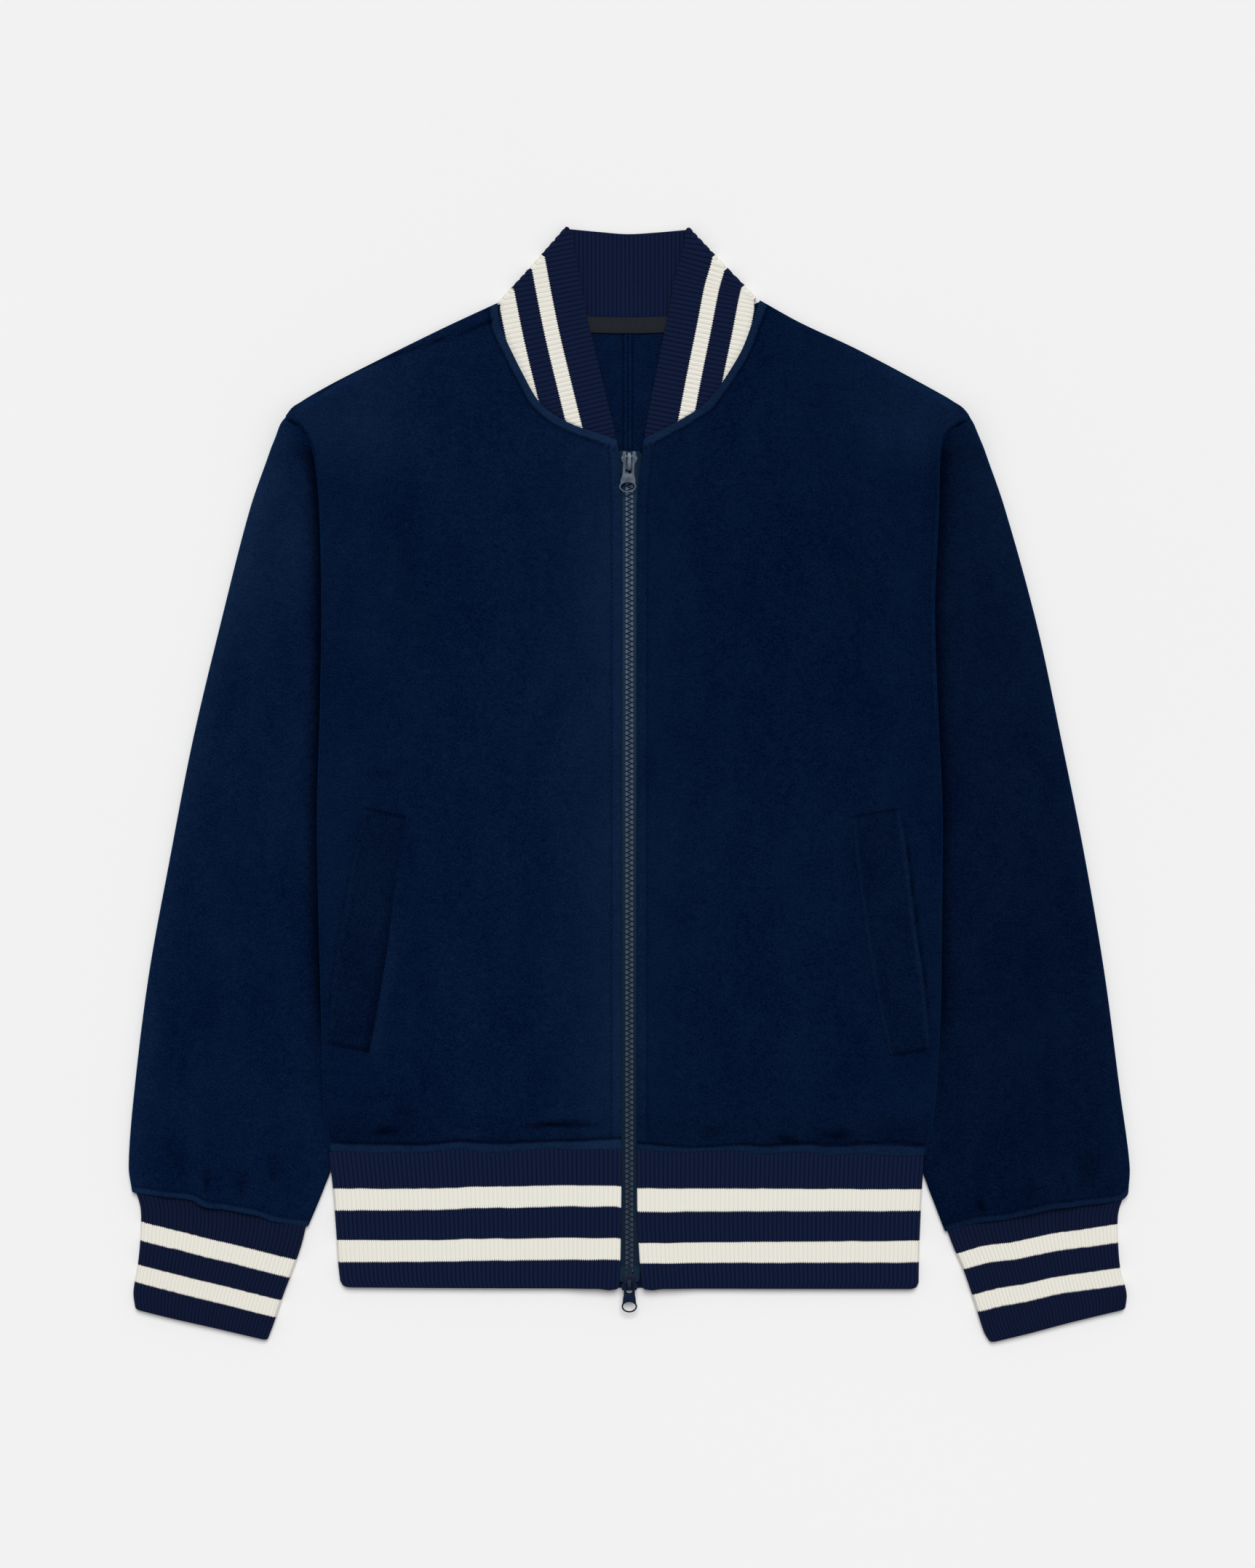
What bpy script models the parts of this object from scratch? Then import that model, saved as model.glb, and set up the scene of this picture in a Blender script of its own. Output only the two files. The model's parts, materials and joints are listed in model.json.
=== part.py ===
"""A zip-front fleece track jacket with striped ribs, laid flat on its back.

Sizes are in millimetres: +X to the right as seen, +Y to the collar, +Z up.
Left and right are as seen. new_object, plate, upright and make_pull turn them into metres.
"""

import math
from bisect import bisect_right

import bmesh
import bpy
from mathutils import Matrix, Vector

METRES = 0.001

# Cloth
SEAM_GAP = 0.3
FLEECE = 2.6
RIB_KNIT = 2.2
RIB_RISE = 0.7
HEM_RIB_PITCH = 3.3
CUFF_RIB_PITCH = 3.1
COLLAR_RIB_PITCH = 3.4
SEAM_BAND = 6.0
SEAM_BAND_RISE = 0.5
EDGE_ROUND = 1.2
SEAM_HALF = 0.4

# Folds: how far the round of a fold reaches in from its outline
FOLD_STEPS = 4
SLEEVE_FOLD = FLEECE + 0.6
BODY_FOLD = FLEECE + 0.6
CUFF_FOLD = RIB_KNIT + 0.5
HEM_FOLD = RIB_KNIT + 0.8
COLLAR_FOLD = RIB_KNIT + 0.6

# Places round a tube, as shares of the way from the middle of its top, over the left fold
LEFT_TOP_END = 0.24
FLOOR_START = 0.26
FLOOR_END = 0.74
RIGHT_TOP_START = 0.76

# Steps of the body panels: rows down the neckline and the body, columns across
FRONT_NECK_STEPS = 10
BACK_NECK_STEPS = 5
FRONT_ROWS = [110.0, 60.0, 10.0, -40.0, -90.0, -140.0, -185.0]
BACK_ROWS = [178.0, 166.0, 153.0, 140.0, 128.0, 116.0, 100.0, 84.0, 20.0, -50.0, -120.0, -180.0]
HEM_ROWS = [-222.0, -235.0, -243.0, -245.5]
FLAT_STEPS = 3
RISE_STEPS = 3
TUCK_STEPS = 2
LAST_COLUMN = 2 + FLAT_STEPS + RISE_STEPS + TUCK_STEPS

# Layers of the lay
FRONT_FLOOR = FLEECE + 1.2
SLEEVE_FLAT = 2.0 * FLEECE + SEAM_GAP
SIDE_LIFT = SLEEVE_FLAT + SEAM_GAP
LIFT_FULL = 42.0
LIFT_NONE = 76.0
SIDE_TURN = 14.0
SIDE_TURN_GAP = 1.0
SLEEVE_CROWN = 2.6
SLEEVE_SLOPE = 0.9
SLEEVE_CROWN_START = 10.0
CUFF_PUFF = 0.5
HEM_FADE_TOP = -224.0
HEM_FADE_BOTTOM = -248.0
BACK_FADE_LOW = 128.0
BACK_FADE_HIGH = 166.0

# Zip
ZIP_RAISE = 6.0 - FRONT_FLOOR
ZIP_RAISE_FULL = 25.0
ZIP_RAISE_NONE = 50.0
CHAIN_HALF = 3.15
CHAIN_LOW = 4.2
CHAIN_HIGH = 6.6
TAPE_LOW = 5.0
TAPE_HIGH = 5.7
TAPE_HALF = 11.5
TAPE_TOP = 226.0
TAPE_FOOT = -336.0
TEETH_TOP = 221.0
TEETH_FOOT = -338.0
SLIDER_AXIS_Z = 10.2
PLATE_LOW = (3.0, 3.9)
PLATE_HIGH = (6.9, 7.9)
PULL_THICK = 1.3
PULL_BAR = 0.7
PULL_DROOP = math.radians(10.0)
# Left half of each slider's plates from its lower to its upper end, from the hinge axis: x, y
TOP_PLATE = [(-5.0, -6.5), (-5.6, -1.0), (-7.4, 2.6), (-6.6, 4.6)]
BOTTOM_PLATE = [(-5.2, -5.4), (-5.2, 1.0), (-4.6, 4.4)]
TOP_POST = 3.0
BOTTOM_POST = -4.6
POST_HALF_X = 1.3
POST_HALF_Y = 0.9
BRIDGE_HALF = 1.1
BRIDGE_HEAD = 2.9
BRIDGE_CREST = 2.2
BRIDGE_WINDOW = 1.4
SINK = 0.25

# Body edge, which is the armhole seam and then the side fold: y, left x, right x
BODY_EDGE = [
    (250.0, -236.5, 234.5),
    (246.5, -228.0, 225.0),
    (238.0, -221.0, 216.5),
    (222.0, -216.2, 213.6),
    (189.0, -213.0, 212.6),
    (120.0, -211.5, 209.8),
    (50.0, -212.5, 212.0),
    (-20.0, -214.5, 215.0),
    (-90.0, -213.5, 214.6),
    (-160.0, -211.6, 213.6),
    (-220.0, -210.2, 210.0),
    (-251.0, -208.0, 205.0),
]

# Outer fold of the sleeves: y, left x, right x
SLEEVE_OUTER = [
    (248.5, -238.0, 235.6),
    (243.0, -241.0, 238.6),
    (229.5, -247.0, 244.5),
    (189.5, -261.0, 258.5),
    (109.5, -281.5, 280.5),
    (29.5, -300.5, 297.5),
    (-50.5, -316.0, 313.5),
    (-130.5, -330.5, 327.0),
    (-210.5, -340.5, 337.5),
    (-262.0, -344.4, 343.6),
    (-281.0, -342.0, 342.0),
]

# Inner fold of the sleeves, under the body and then free: y, left x, right x
SLEEVE_INNER = [
    (120.0, -178.0, 176.0),
    (40.0, -179.0, 178.5),
    (-60.0, -184.0, 184.5),
    (-140.0, -193.5, 195.0),
    (-195.0, -204.0, 205.0),
    (-226.0, -211.2, 210.8),
    (-252.0, -209.6, 206.4),
    (-272.0, -211.2, 206.8),
    (-303.5, -221.0, 217.2),
]

# Mouth of the sleeves, from the outer fold to the inner fold: x left, x right, y
SLEEVE_MOUTH = [
    (-238.0, 235.6, 248.5),
    (-230.5, 227.5, 251.2),
    (-224.8, 220.8, 247.2),
    (-218.5, 214.3, 239.4),
    (-203.0, 200.0, 206.0),
    (-190.0, 188.0, 164.0),
    (-178.0, 176.0, 120.0),
]

# Cuff seams, from the outer to the inner fold: x, y
CUFF_SEAM_LEFT = [
    (-342.0, -281.0), (-317.0, -285.6), (-290.0, -291.2), (-258.0, -295.4), (-221.0, -303.5),
]
CUFF_SEAM_RIGHT = [
    (342.0, -285.0), (317.0, -287.6), (291.0, -291.4), (259.0, -299.2), (217.2, -307.5),
]

# Cuffs below the seam: outer x, outer y, inner x, inner y
CUFF_SIDES_LEFT = [
    (-339.6, -281.8, -222.0, -304.6),
    (-336.2, -292.0, -225.4, -316.0),
    (-336.4, -312.0, -231.2, -333.0),
    (-338.4, -332.0, -238.4, -352.0),
    (-341.2, -349.0, -244.4, -370.0),
    (-339.8, -360.8, -249.0, -382.2),
]
CUFF_SIDES_RIGHT = [
    (340.0, -285.8, 218.4, -308.6),
    (336.4, -295.0, 223.2, -318.6),
    (336.2, -312.0, 230.4, -335.0),
    (338.0, -334.0, 238.4, -359.0),
    (342.2, -350.0, 244.2, -377.0),
    (341.2, -360.8, 248.4, -383.8),
]
# Free edge of the cuffs, from the outer to the inner fold: x, y
CUFF_END_LEFT = [
    (-339.8, -360.8), (-317.0, -366.5), (-290.5, -372.5), (-267.0, -378.0), (-249.0, -382.2),
]
CUFF_END_RIGHT = [
    (341.2, -360.8), (328.5, -363.8), (302.0, -370.2), (275.0, -377.4), (248.4, -383.8),
]

# Hem band: the seam, its sides and its free edge: x, y
HEM_SEAM = [
    (-207.0, -251.6),
    (-150.0, -253.6),
    (-92.0, -251.2),
    (-40.0, -250.6),
    (20.0, -252.6),
    (80.0, -251.4),
    (140.0, -251.8),
    (203.0, -254.6),
]
HEM_LEFT = [(-207.0, -251.6), (-204.0, -277.0), (-201.8, -305.0), (-200.2, -330.0), (-198.4, -345.6)]
HEM_RIGHT = [(203.0, -254.6), (201.4, -277.0), (200.0, -305.0), (199.2, -330.0), (199.0, -346.8)]
HEM_END = [(-198.4, -345.6), (-100.0, -346.2), (0.0, -346.4), (100.0, -346.6), (199.0, -346.8)]

# Edges of the fronts and the hem band beside the zip: y, left x, right x
ZIP_EDGE = [
    (231.0, -9.6, 10.4),
    (217.0, -8.8, 9.4),
    (206.0, -5.8, 6.0),
    (190.0, -5.0, 5.0),
    (-252.0, -5.2, 5.0),
    (-300.0, -5.6, 5.4),
    (-330.0, -6.0, 8.2),
    (-346.5, -7.4, 10.4),
]

# Front neckline, from the zip to the side of the neck: x, y
NECK_FRONT_LEFT = [
    (-9.6, 237.0), (-25.5, 243.0), (-49.0, 254.0), (-63.0, 264.5),
    (-80.5, 297.0), (-89.6, 318.0), (-92.6, 330.6),
]
NECK_FRONT_RIGHT = [
    (10.4, 237.0), (23.5, 244.5), (38.0, 252.5), (54.0, 264.0),
    (75.5, 295.5), (84.6, 318.0), (89.8, 333.4),
]
# Shoulder line, from the neck to the armhole: x, y
SHOULDER_LEFT = [
    (-92.6, 330.6), (-128.5, 314.0), (-182.0, 287.5), (-209.0, 273.5), (-229.0, 260.5), (-236.5, 250.0),
]
SHOULDER_RIGHT = [
    (89.8, 333.4), (117.5, 318.0), (157.0, 299.5), (216.0, 268.0), (228.0, 259.5), (234.5, 250.0),
]
# The back's corner at the shoulder, which stops short of the sleeve: x, y
BACK_TIP_LEFT = (-231.5, 257.0)
BACK_TIP_RIGHT = (230.0, 256.6)
# Back neckline, from the side of the neck to the centre back: x, y
NECK_BACK_LEFT = [(-92.6, 330.6), (-66.0, 322.0), (-34.0, 315.6), (-1.0, 313.6)]
NECK_BACK_RIGHT = [(89.8, 333.4), (64.0, 323.0), (32.0, 315.8), (-1.0, 313.6)]
CENTRE_BACK = -1.0
# Between the armhole and the side turn, the back's edge passes these two heights
BACK_UNDERARM = 104.0
BACK_SIDE_TOP = 84.0
BACK_SIDE_INSET = 3.0
ARMHOLE_INSET = 0.9

# Collar: the free edge of the wings, from the zip to the side fold, and of the back: x, y
WING_EDGE_LEFT = [
    (-10.0, 242.0), (-19.5, 280.5), (-27.5, 314.0), (-33.0, 341.0), (-38.0, 367.5), (-42.0, 382.6),
]
WING_EDGE_RIGHT = [
    (10.8, 242.0), (19.5, 287.5), (26.0, 319.5), (31.5, 347.5), (37.0, 367.5), (40.0, 382.2),
]
COLLAR_BACK_EDGE = [(-43.5, 384.5), (-20.0, 380.6), (-1.0, 379.2), (20.0, 380.4), (41.0, 384.0)]
COLLAR_SIDE_LEFT = [(-90.8, 331.8), (-69.0, 355.5), (-43.5, 384.5)]
COLLAR_SIDE_RIGHT = [(87.8, 335.2), (64.5, 359.0), (41.0, 384.0)]
WING_FLOOR = 3.8
WING_STAND = 1.0
COLLAR_UNDER_STEPS = 6
BACK_RIB_SHARE = 0.7

# Neck tape: x, y of its middle line
NECK_TAPE_LINE = [(-44.0, 317.2), (-28.0, 315.8), (-2.0, 315.2), (24.0, 315.8), (40.0, 317.2)]
NECK_TAPE_WIDE = 12.0
NECK_TAPE_THICK = 0.6
NECK_TAPE_FLOOR = 3.05

# Pocket welts: the side by the zip and the side with the opening, top to bottom: x, y
WELT_LEFT_INNER = [(-153.0, -21.0), (-159.0, -58.0), (-166.0, -112.0), (-173.6, -158.0), (-178.4, -184.0)]
WELT_LEFT_OUTER = [(-181.6, -14.4), (-187.4, -42.0), (-196.0, -88.0), (-203.0, -132.0), (-207.0, -178.0)]
WELT_RIGHT_INNER = [(152.4, -20.6), (156.0, -58.0), (163.4, -112.0), (171.8, -158.0), (178.6, -187.0)]
WELT_RIGHT_OUTER = [(185.6, -14.6), (190.4, -48.0), (195.6, -92.0), (201.6, -134.0), (206.6, -182.4)]
WELT_THICK = 1.8
WELT_GAP = 0.5
WELT_EDGE_DROP = 0.6

# Gathers of the sleeves above the cuffs: side, x and y at the cuff, lean, length, width, height
GATHERS = [
    (-1, -318.0, -286.0, -3.0, 44.0, 7.0, 1.5),
    (-1, -291.0, -290.0, 2.0, 58.0, 8.0, 2.2),
    (-1, -262.0, -296.0, 5.0, 50.0, 8.0, 1.9),
    (-1, -240.0, -300.0, 6.0, 34.0, 6.0, 1.3),
    (1, 322.0, -288.0, 4.0, 40.0, 7.0, 1.4),
    (1, 300.0, -291.0, 3.0, 62.0, 9.0, 2.3),
    (1, 276.0, -296.0, -4.0, 48.0, 8.0, 1.9),
    (1, 246.0, -302.0, -6.0, 36.0, 7.0, 1.4),
]


def ease(share):
    """A smooth step from 0 to 1."""
    share = min(max(share, 0.0), 1.0)
    return share * share * (3.0 - 2.0 * share)


def smooth_line(points):
    """A smooth curve through the points, read by the share of its length."""
    knots = [Vector(point) for point in points]
    marks = [0.0]
    for before, after in zip(knots, knots[1:]):
        marks.append(marks[-1] + (after - before).length)
    last = len(knots) - 1

    def slope(i):
        low, high = max(i - 1, 0), min(i + 1, last)
        return (knots[high] - knots[low]) / (marks[high] - marks[low])

    def at(share):
        along = min(max(share, 0.0), 1.0) * marks[-1]
        i = min(bisect_right(marks, along) - 1, last - 1)
        span = marks[i + 1] - marks[i]
        t = (along - marks[i]) / span
        lift = t * t * (3.0 - 2.0 * t)
        start = slope(i) * span * (t * (1.0 - t) ** 2)
        end = slope(i + 1) * span * (t * t * (t - 1.0))
        return knots[i] * (1.0 - lift) + knots[i + 1] * lift + start + end

    at.length = marks[-1]
    return at


def joined(first, second):
    """Two curves end to end, with the corner between them kept."""
    whole = first.length + second.length
    share_first = first.length / whole

    def at(share):
        if share <= share_first:
            return first(share / share_first)
        return second((share - share_first) / (1.0 - share_first))

    at.length = whole
    at.corner = share_first
    return at


def reverse(curve):
    """The same curve, read from its other end."""
    def at(share):
        return curve(1.0 - share)

    at.length = curve.length
    return at


def patch(top, bottom, start, end):
    """A surface between four curves; top and bottom run from start to end."""
    def at(u, v):
        across = top(u) * (1.0 - v) + bottom(u) * v
        down = start(v) * (1.0 - u) + end(v) * u
        upper = top(0.0) * (1.0 - u) + top(1.0) * u
        lower = bottom(0.0) * (1.0 - u) + bottom(1.0) * u
        return across + down - upper * (1.0 - v) - lower * v

    return at


def column(table, place, y):
    """Read one x column of a table whose first column is y, falling."""
    for upper, lower in zip(table, table[1:]):
        if y >= lower[0]:
            share = min(max((upper[0] - y) / (upper[0] - lower[0]), 0.0), 1.0)
            return upper[place] * (1.0 - share) + lower[place] * share
    return table[-1][place]


def side_curve(table, side, top=None):
    """The left or right outline of a table of y, left x, right x, from the height top down."""
    place = 1 if side < 0 else 2
    return [(row[place], row[0]) for row in table if top is None or row[0] <= top]


def moved(points, dx, dy):
    """A list of points, each moved by the same step."""
    return [(x + dx, y + dy) for x, y in points]


def beside(points, distance):
    """A line of points moved sideways, to its left where distance is positive."""
    line = []
    for i, (x, y) in enumerate(points):
        before, after = points[max(i - 1, 0)], points[min(i + 1, len(points) - 1)]
        along = (Vector(after) - Vector(before)).normalized()
        line.append((x - along.y * distance, y + along.x * distance))
    return line


def seam_y(x):
    """Height of the hem seam at x."""
    for left, right in zip(HEM_SEAM, HEM_SEAM[1:]):
        if x <= right[0]:
            share = max((x - left[0]) / (right[0] - left[0]), 0.0)
            return left[1] * (1.0 - share) + right[1] * share
    return HEM_SEAM[-1][1]


def side_lift(x, y):
    """How far the body rises to lie over the sleeves at its sides."""
    place = 1 if x < 0.0 else 2
    inside = abs(column(BODY_EDGE, place, y)) - abs(x)
    reach = 1.0 - ease((inside - LIFT_FULL) / (LIFT_NONE - LIFT_FULL))
    fade = 1.0 - ease((HEM_FADE_TOP - y) / (HEM_FADE_TOP - HEM_FADE_BOTTOM))
    return SIDE_LIFT * reach * fade


def front_floor(x, y):
    """Underside of the upper layer: over the back, the zip tape and the sleeves."""
    by_zip = 1.0 - ease((abs(x) - ZIP_RAISE_FULL) / (ZIP_RAISE_NONE - ZIP_RAISE_FULL))
    return FRONT_FLOOR + ZIP_RAISE * by_zip + side_lift(x, y)


def back_floor(x, y):
    """Underside of the back: flat, but over the sleeves' inner folds at its sides."""
    fade = 1.0 - ease((y - BACK_FADE_LOW) / (BACK_FADE_HIGH - BACK_FADE_LOW))
    return side_lift(x, y) * fade


def gather_height(side, x, y):
    """Height of the soft gathers above a cuff."""
    height = 0.0
    for row_side, foot_x, foot_y, lean, length, width, rise in GATHERS:
        if row_side != side:
            continue
        along = (y - foot_y) / length
        if -0.4 < along < 1.0:
            middle = foot_x + lean * along
            height += rise * ease(1.0 - max(along, 0.0)) * math.exp(-((x - middle) / width) ** 2)
    return height


def sleeve_top(side, x, y):
    """Top of a sleeve: pressed flat under the body, softly crowned outside it."""
    place = 1 if side < 0 else 2
    if y > BODY_EDGE[-1][0]:
        cover = abs(column(BODY_EDGE, place, y))
    else:
        cover = abs(column(SLEEVE_INNER, place, y))
    outer = abs(column(SLEEVE_OUTER, place, y))
    start = min(SLEEVE_CROWN_START, (outer - cover) * 0.3)
    share = (abs(x) - cover - start) / max(outer - cover - start, SLEEVE_CROWN_START)
    share = min(max(share, 0.0), 1.0)
    crown = SLEEVE_SLOPE * share + SLEEVE_CROWN * math.sin(math.pi * share)
    return SLEEVE_FLAT + crown + gather_height(side, x, y) * min(share * 8.0, 1.0)


def new_material(name, colour, roughness, metallic=0.0):
    """A plain finish in one colour."""
    finish = bpy.data.materials.new(name)
    finish.use_nodes = True
    shader = finish.node_tree.nodes["Principled BSDF"]
    shader.inputs["Base Color"].default_value = (*colour, 1.0)
    shader.inputs["Roughness"].default_value = roughness
    shader.inputs["Metallic"].default_value = metallic
    finish.diffuse_color = (*colour, 1.0)
    return finish


def new_object(name, points, faces, finish, sharp=40.0):
    """Make a closed solid of the points, in metres, with its faces turned outwards."""
    mesh = bpy.data.meshes.new(name)
    mesh.from_pydata([tuple(value * METRES for value in point) for point in points], [], faces)
    work = bmesh.new()
    work.from_mesh(mesh)
    bmesh.ops.recalc_face_normals(work, faces=work.faces)
    work.to_mesh(mesh)
    work.free()
    mesh.shade_smooth()
    mesh.set_sharp_from_angle(angle=math.radians(sharp))
    mesh.materials.append(finish)
    item = bpy.data.objects.new(name, mesh)
    bpy.context.scene.collection.objects.link(item)
    return item


def stitch(faces, first, second, ring):
    """Join two lines of (share, number), which may have their own spacing."""
    steps = [len(first) - 1 + ring, len(second) - 1 + ring]

    def share(line, i):
        return line[i % len(line)][0] + i // len(line)

    if len(first) == len(second):
        for i in range(steps[0]):
            k = (i + 1) % len(first)
            faces.append((first[i][1], first[k][1], second[k][1], second[i][1]))
        return

    i, k = 0, 0
    while i < steps[0] or k < steps[1]:
        here_first = first[i % len(first)][1]
        here_second = second[k % len(second)][1]
        take_first = k >= steps[1] or (i < steps[0] and share(first, i + 1) <= share(second, k + 1))
        if take_first:
            faces.append((here_first, first[(i + 1) % len(first)][1], here_second))
            i += 1
        else:
            faces.append((here_first, second[(k + 1) % len(second)][1], here_second))
            k += 1


def wall(name, outer, inner, ring, finish):
    """Close a cloth wall between its outer and inner rows of (share, point)."""
    points, faces = [], []
    numbered = []
    for rows in (outer, inner):
        lines = []
        for row in rows:
            lines.append([(share, len(points) + i) for i, (share, point) in enumerate(row)])
            points.extend(point for share, point in row)
        for upper, lower in zip(lines, lines[1:]):
            stitch(faces, upper, lower, ring)
        numbered.append(lines)
    for end in (0, -1):
        stitch(faces, numbered[0][end], numbered[1][end], ring)
    if not ring:
        for side in (0, -1):
            stitch(faces, [(j, line[side][1]) for j, line in enumerate(numbered[0])],
                   [(j, line[side][1]) for j, line in enumerate(numbered[1])], False)
    return new_object(name, points, faces, finish)


def fold(edge, outward, low, high, reach, thick, shares):
    """Outer and inner points of a fold, from the upper layer round to the lower."""
    middle, half = (low + high) / 2.0, (high - low) / 2.0
    centre = edge - outward * reach
    outer, inner = [], []
    for i in range(1, FOLD_STEPS):
        turn = math.pi * i / FOLD_STEPS
        share = shares[0] + (shares[1] - shares[0]) * i / FOLD_STEPS
        across, rise = math.sin(turn), math.cos(turn)
        out_at = centre + outward * (reach * across)
        in_at = centre + outward * ((reach - thick) * across)
        outer.append((share, (out_at.x, out_at.y, middle + half * rise)))
        inner.append((share, (in_at.x, in_at.y, middle + (half - thick) * rise)))
    return outer, inner


def run(surface, v, start, end, shares, steps, height):
    """Points along one layer of a row, where height gives z from the plan."""
    line = []
    for i in range(steps + 1):
        along = i / steps
        at = surface(start + (end - start) * along, v)
        share = shares[0] + (shares[1] - shares[0]) * along
        line.append((share, (at.x, at.y, height(at.x, at.y, i))))
    return line


def flat_tube(name, surface, rows, thick, reach, top, finish, columns, split=None, rib_steps=0):
    """A flattened tube of cloth, lying on its lower layer.

    surface(u, v) is its plan, from the left fold to the right one. With split,
    the tube is open along the top layer between the two places it gives.
    """
    outer_rows, inner_rows = [], []
    for v in rows:
        is_end = v in (rows[0], rows[-1])
        left, right = surface(0.0, v), surface(1.0, v)
        wide = (right - left).length
        inset = reach / wide
        outward_left = (left - surface(inset, v)).normalized()
        outward_right = (right - surface(1.0 - inset, v)).normalized()
        gap_left, gap_right = split(v) if split else (0.5, 0.5)

        def ribbed(x, y, i):
            return top(x, y) + (RIB_RISE if rib_steps and i % 2 else 0.0)

        def plain_top(x, y, i):
            return max(top(x, y) - thick, thick + SEAM_GAP)

        def floor(x, y, i):
            return 0.0

        def floor_inside(x, y, i):
            return thick

        steps = rib_steps or columns
        inner_steps = steps if is_end else columns
        outer, inner = [], []
        along = (0.0, LEFT_TOP_END)
        outer += run(surface, v, gap_left, inset, along, steps, ribbed)
        inner += run(surface, v, gap_left, inset, along, inner_steps, plain_top)
        along = (LEFT_TOP_END, FLOOR_START)
        turn_outer, turn_inner = fold(left, outward_left, 0.0, outer[-1][1][2], reach, thick, along)
        outer += turn_outer
        inner += turn_inner
        along = (FLOOR_START, FLOOR_END)
        outer += run(surface, v, inset, 1.0 - inset, along, columns, floor)
        inner += run(surface, v, inset, 1.0 - inset, along, columns, floor_inside)
        along = (RIGHT_TOP_START, 1.0)
        upper = run(surface, v, 1.0 - inset, gap_right, along, steps, ribbed)
        upper_inside = run(surface, v, 1.0 - inset, gap_right, along, inner_steps, plain_top)
        along = (RIGHT_TOP_START, FLOOR_END)
        turn_outer, turn_inner = fold(right, outward_right, 0.0, upper[0][1][2], reach, thick, along)
        outer += turn_outer[::-1] + upper
        inner += turn_inner[::-1] + upper_inside
        if not split:
            outer.pop()
            inner.pop()
        outer_rows.append(outer)
        inner_rows.append(inner)
    return wall(name, outer_rows, inner_rows, not split, finish)


def spaced(first, last, steps):
    """Evenly spaced values from first to last."""
    return [first + (last - first) * i / steps for i in range(steps + 1)]


def make_sleeve(side, finish):
    """One sleeve: an open tube from the armhole to the cuff, its inner fold under the body."""
    name = "sleeve_left" if side < 0 else "sleeve_right"
    place = 0 if side < 0 else 1
    mouth = smooth_line([(row[place], row[2]) for row in SLEEVE_MOUTH])
    cuff = smooth_line(CUFF_SEAM_LEFT if side < 0 else CUFF_SEAM_RIGHT)
    outer_points = side_curve(SLEEVE_OUTER, side)
    inner_points = side_curve(SLEEVE_INNER, side)
    outer_points[-1] = tuple(cuff(0.0))
    inner_points[-1] = tuple(cuff(1.0))
    outer, inner = smooth_line(outer_points), smooth_line(inner_points)
    if side < 0:
        surface = patch(mouth, cuff, outer, inner)
    else:
        surface = patch(reverse(mouth), reverse(cuff), inner, outer)
    rows = spaced(0.0, 0.8, 10) + spaced(0.84, 1.0, 5)

    def top(x, y):
        return sleeve_top(side, x, y)

    flat_tube(name, surface, rows, FLEECE, SLEEVE_FOLD, top, finish, 6)


def make_cuff(side, finish):
    """One cuff: an open ribbed tube."""
    name = "cuff_left" if side < 0 else "cuff_right"
    sides = CUFF_SIDES_LEFT if side < 0 else CUFF_SIDES_RIGHT
    seam = CUFF_SEAM_LEFT if side < 0 else CUFF_SEAM_RIGHT
    end = CUFF_END_LEFT if side < 0 else CUFF_END_RIGHT
    outer = smooth_line([(row[0], row[1]) for row in sides])
    inner = smooth_line([(row[2], row[3]) for row in sides])
    middle = moved(seam[1:-1], 0.0, -2.0 * SEAM_HALF)
    top = smooth_line([sides[0][:2]] + middle + [sides[0][2:]])
    bottom = smooth_line(end)
    if side < 0:
        surface = patch(top, bottom, outer, inner)
    else:
        surface = patch(reverse(top), reverse(bottom), inner, outer)
    ribs = round(top.length / 2.0 / CUFF_RIB_PITCH)

    def height(x, y):
        return 2.0 * RIB_KNIT + SEAM_GAP + CUFF_PUFF

    rows = spaced(0.0, 1.0, 2)
    flat_tube(name, surface, rows, RIB_KNIT, CUFF_FOLD, height, finish, 4, rib_steps=2 * ribs)


def make_hem(finish):
    """The hem band: one ribbed band round the body, open at the zip."""
    seam = smooth_line(HEM_SEAM)
    end = smooth_line(HEM_END)
    surface = patch(seam, end, smooth_line(HEM_LEFT), smooth_line(HEM_RIGHT))

    def split(v):
        left, right = surface(0.0, v), surface(1.0, v)
        y = (surface(0.5, v)).y
        wide = right.x - left.x
        return ((column(ZIP_EDGE, 1, y) - left.x) / wide, (column(ZIP_EDGE, 2, y) - left.x) / wide)

    def top(x, y):
        by_zip = 1.0 - ease((abs(x) - ZIP_RAISE_FULL) / (ZIP_RAISE_NONE - ZIP_RAISE_FULL))
        return FRONT_FLOOR + RIB_KNIT + ZIP_RAISE * by_zip

    ribs = round(seam.length / 2.0 / HEM_RIB_PITCH)
    rows = spaced(0.0, 1.0, 2)
    flat_tube("hem_band", surface, rows, RIB_KNIT, HEM_FOLD, top, finish, 10,
              split=split, rib_steps=2 * ribs)


def body_columns(wide):
    """Distances from the middle edge of a body panel to its columns, close where the side rises."""
    rising = [wide - LIFT_NONE + (LIFT_NONE - LIFT_FULL) * i / RISE_STEPS for i in range(RISE_STEPS + 1)]
    flat = spaced(SEAM_BAND + 1.5, rising[0], FLAT_STEPS)
    tucked = spaced(rising[-1], wide, TUCK_STEPS)
    return [0.0, EDGE_ROUND, SEAM_BAND] + flat + rising[1:] + tucked[1:]


def share_at_height(curve, y):
    """The share of a falling curve at which it passes the height y."""
    low, high = 0.0, 1.0
    for halving in range(30):
        middle = (low + high) / 2.0
        if curve(middle).y > y:
            low = middle
        else:
            high = middle
    return low


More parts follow.
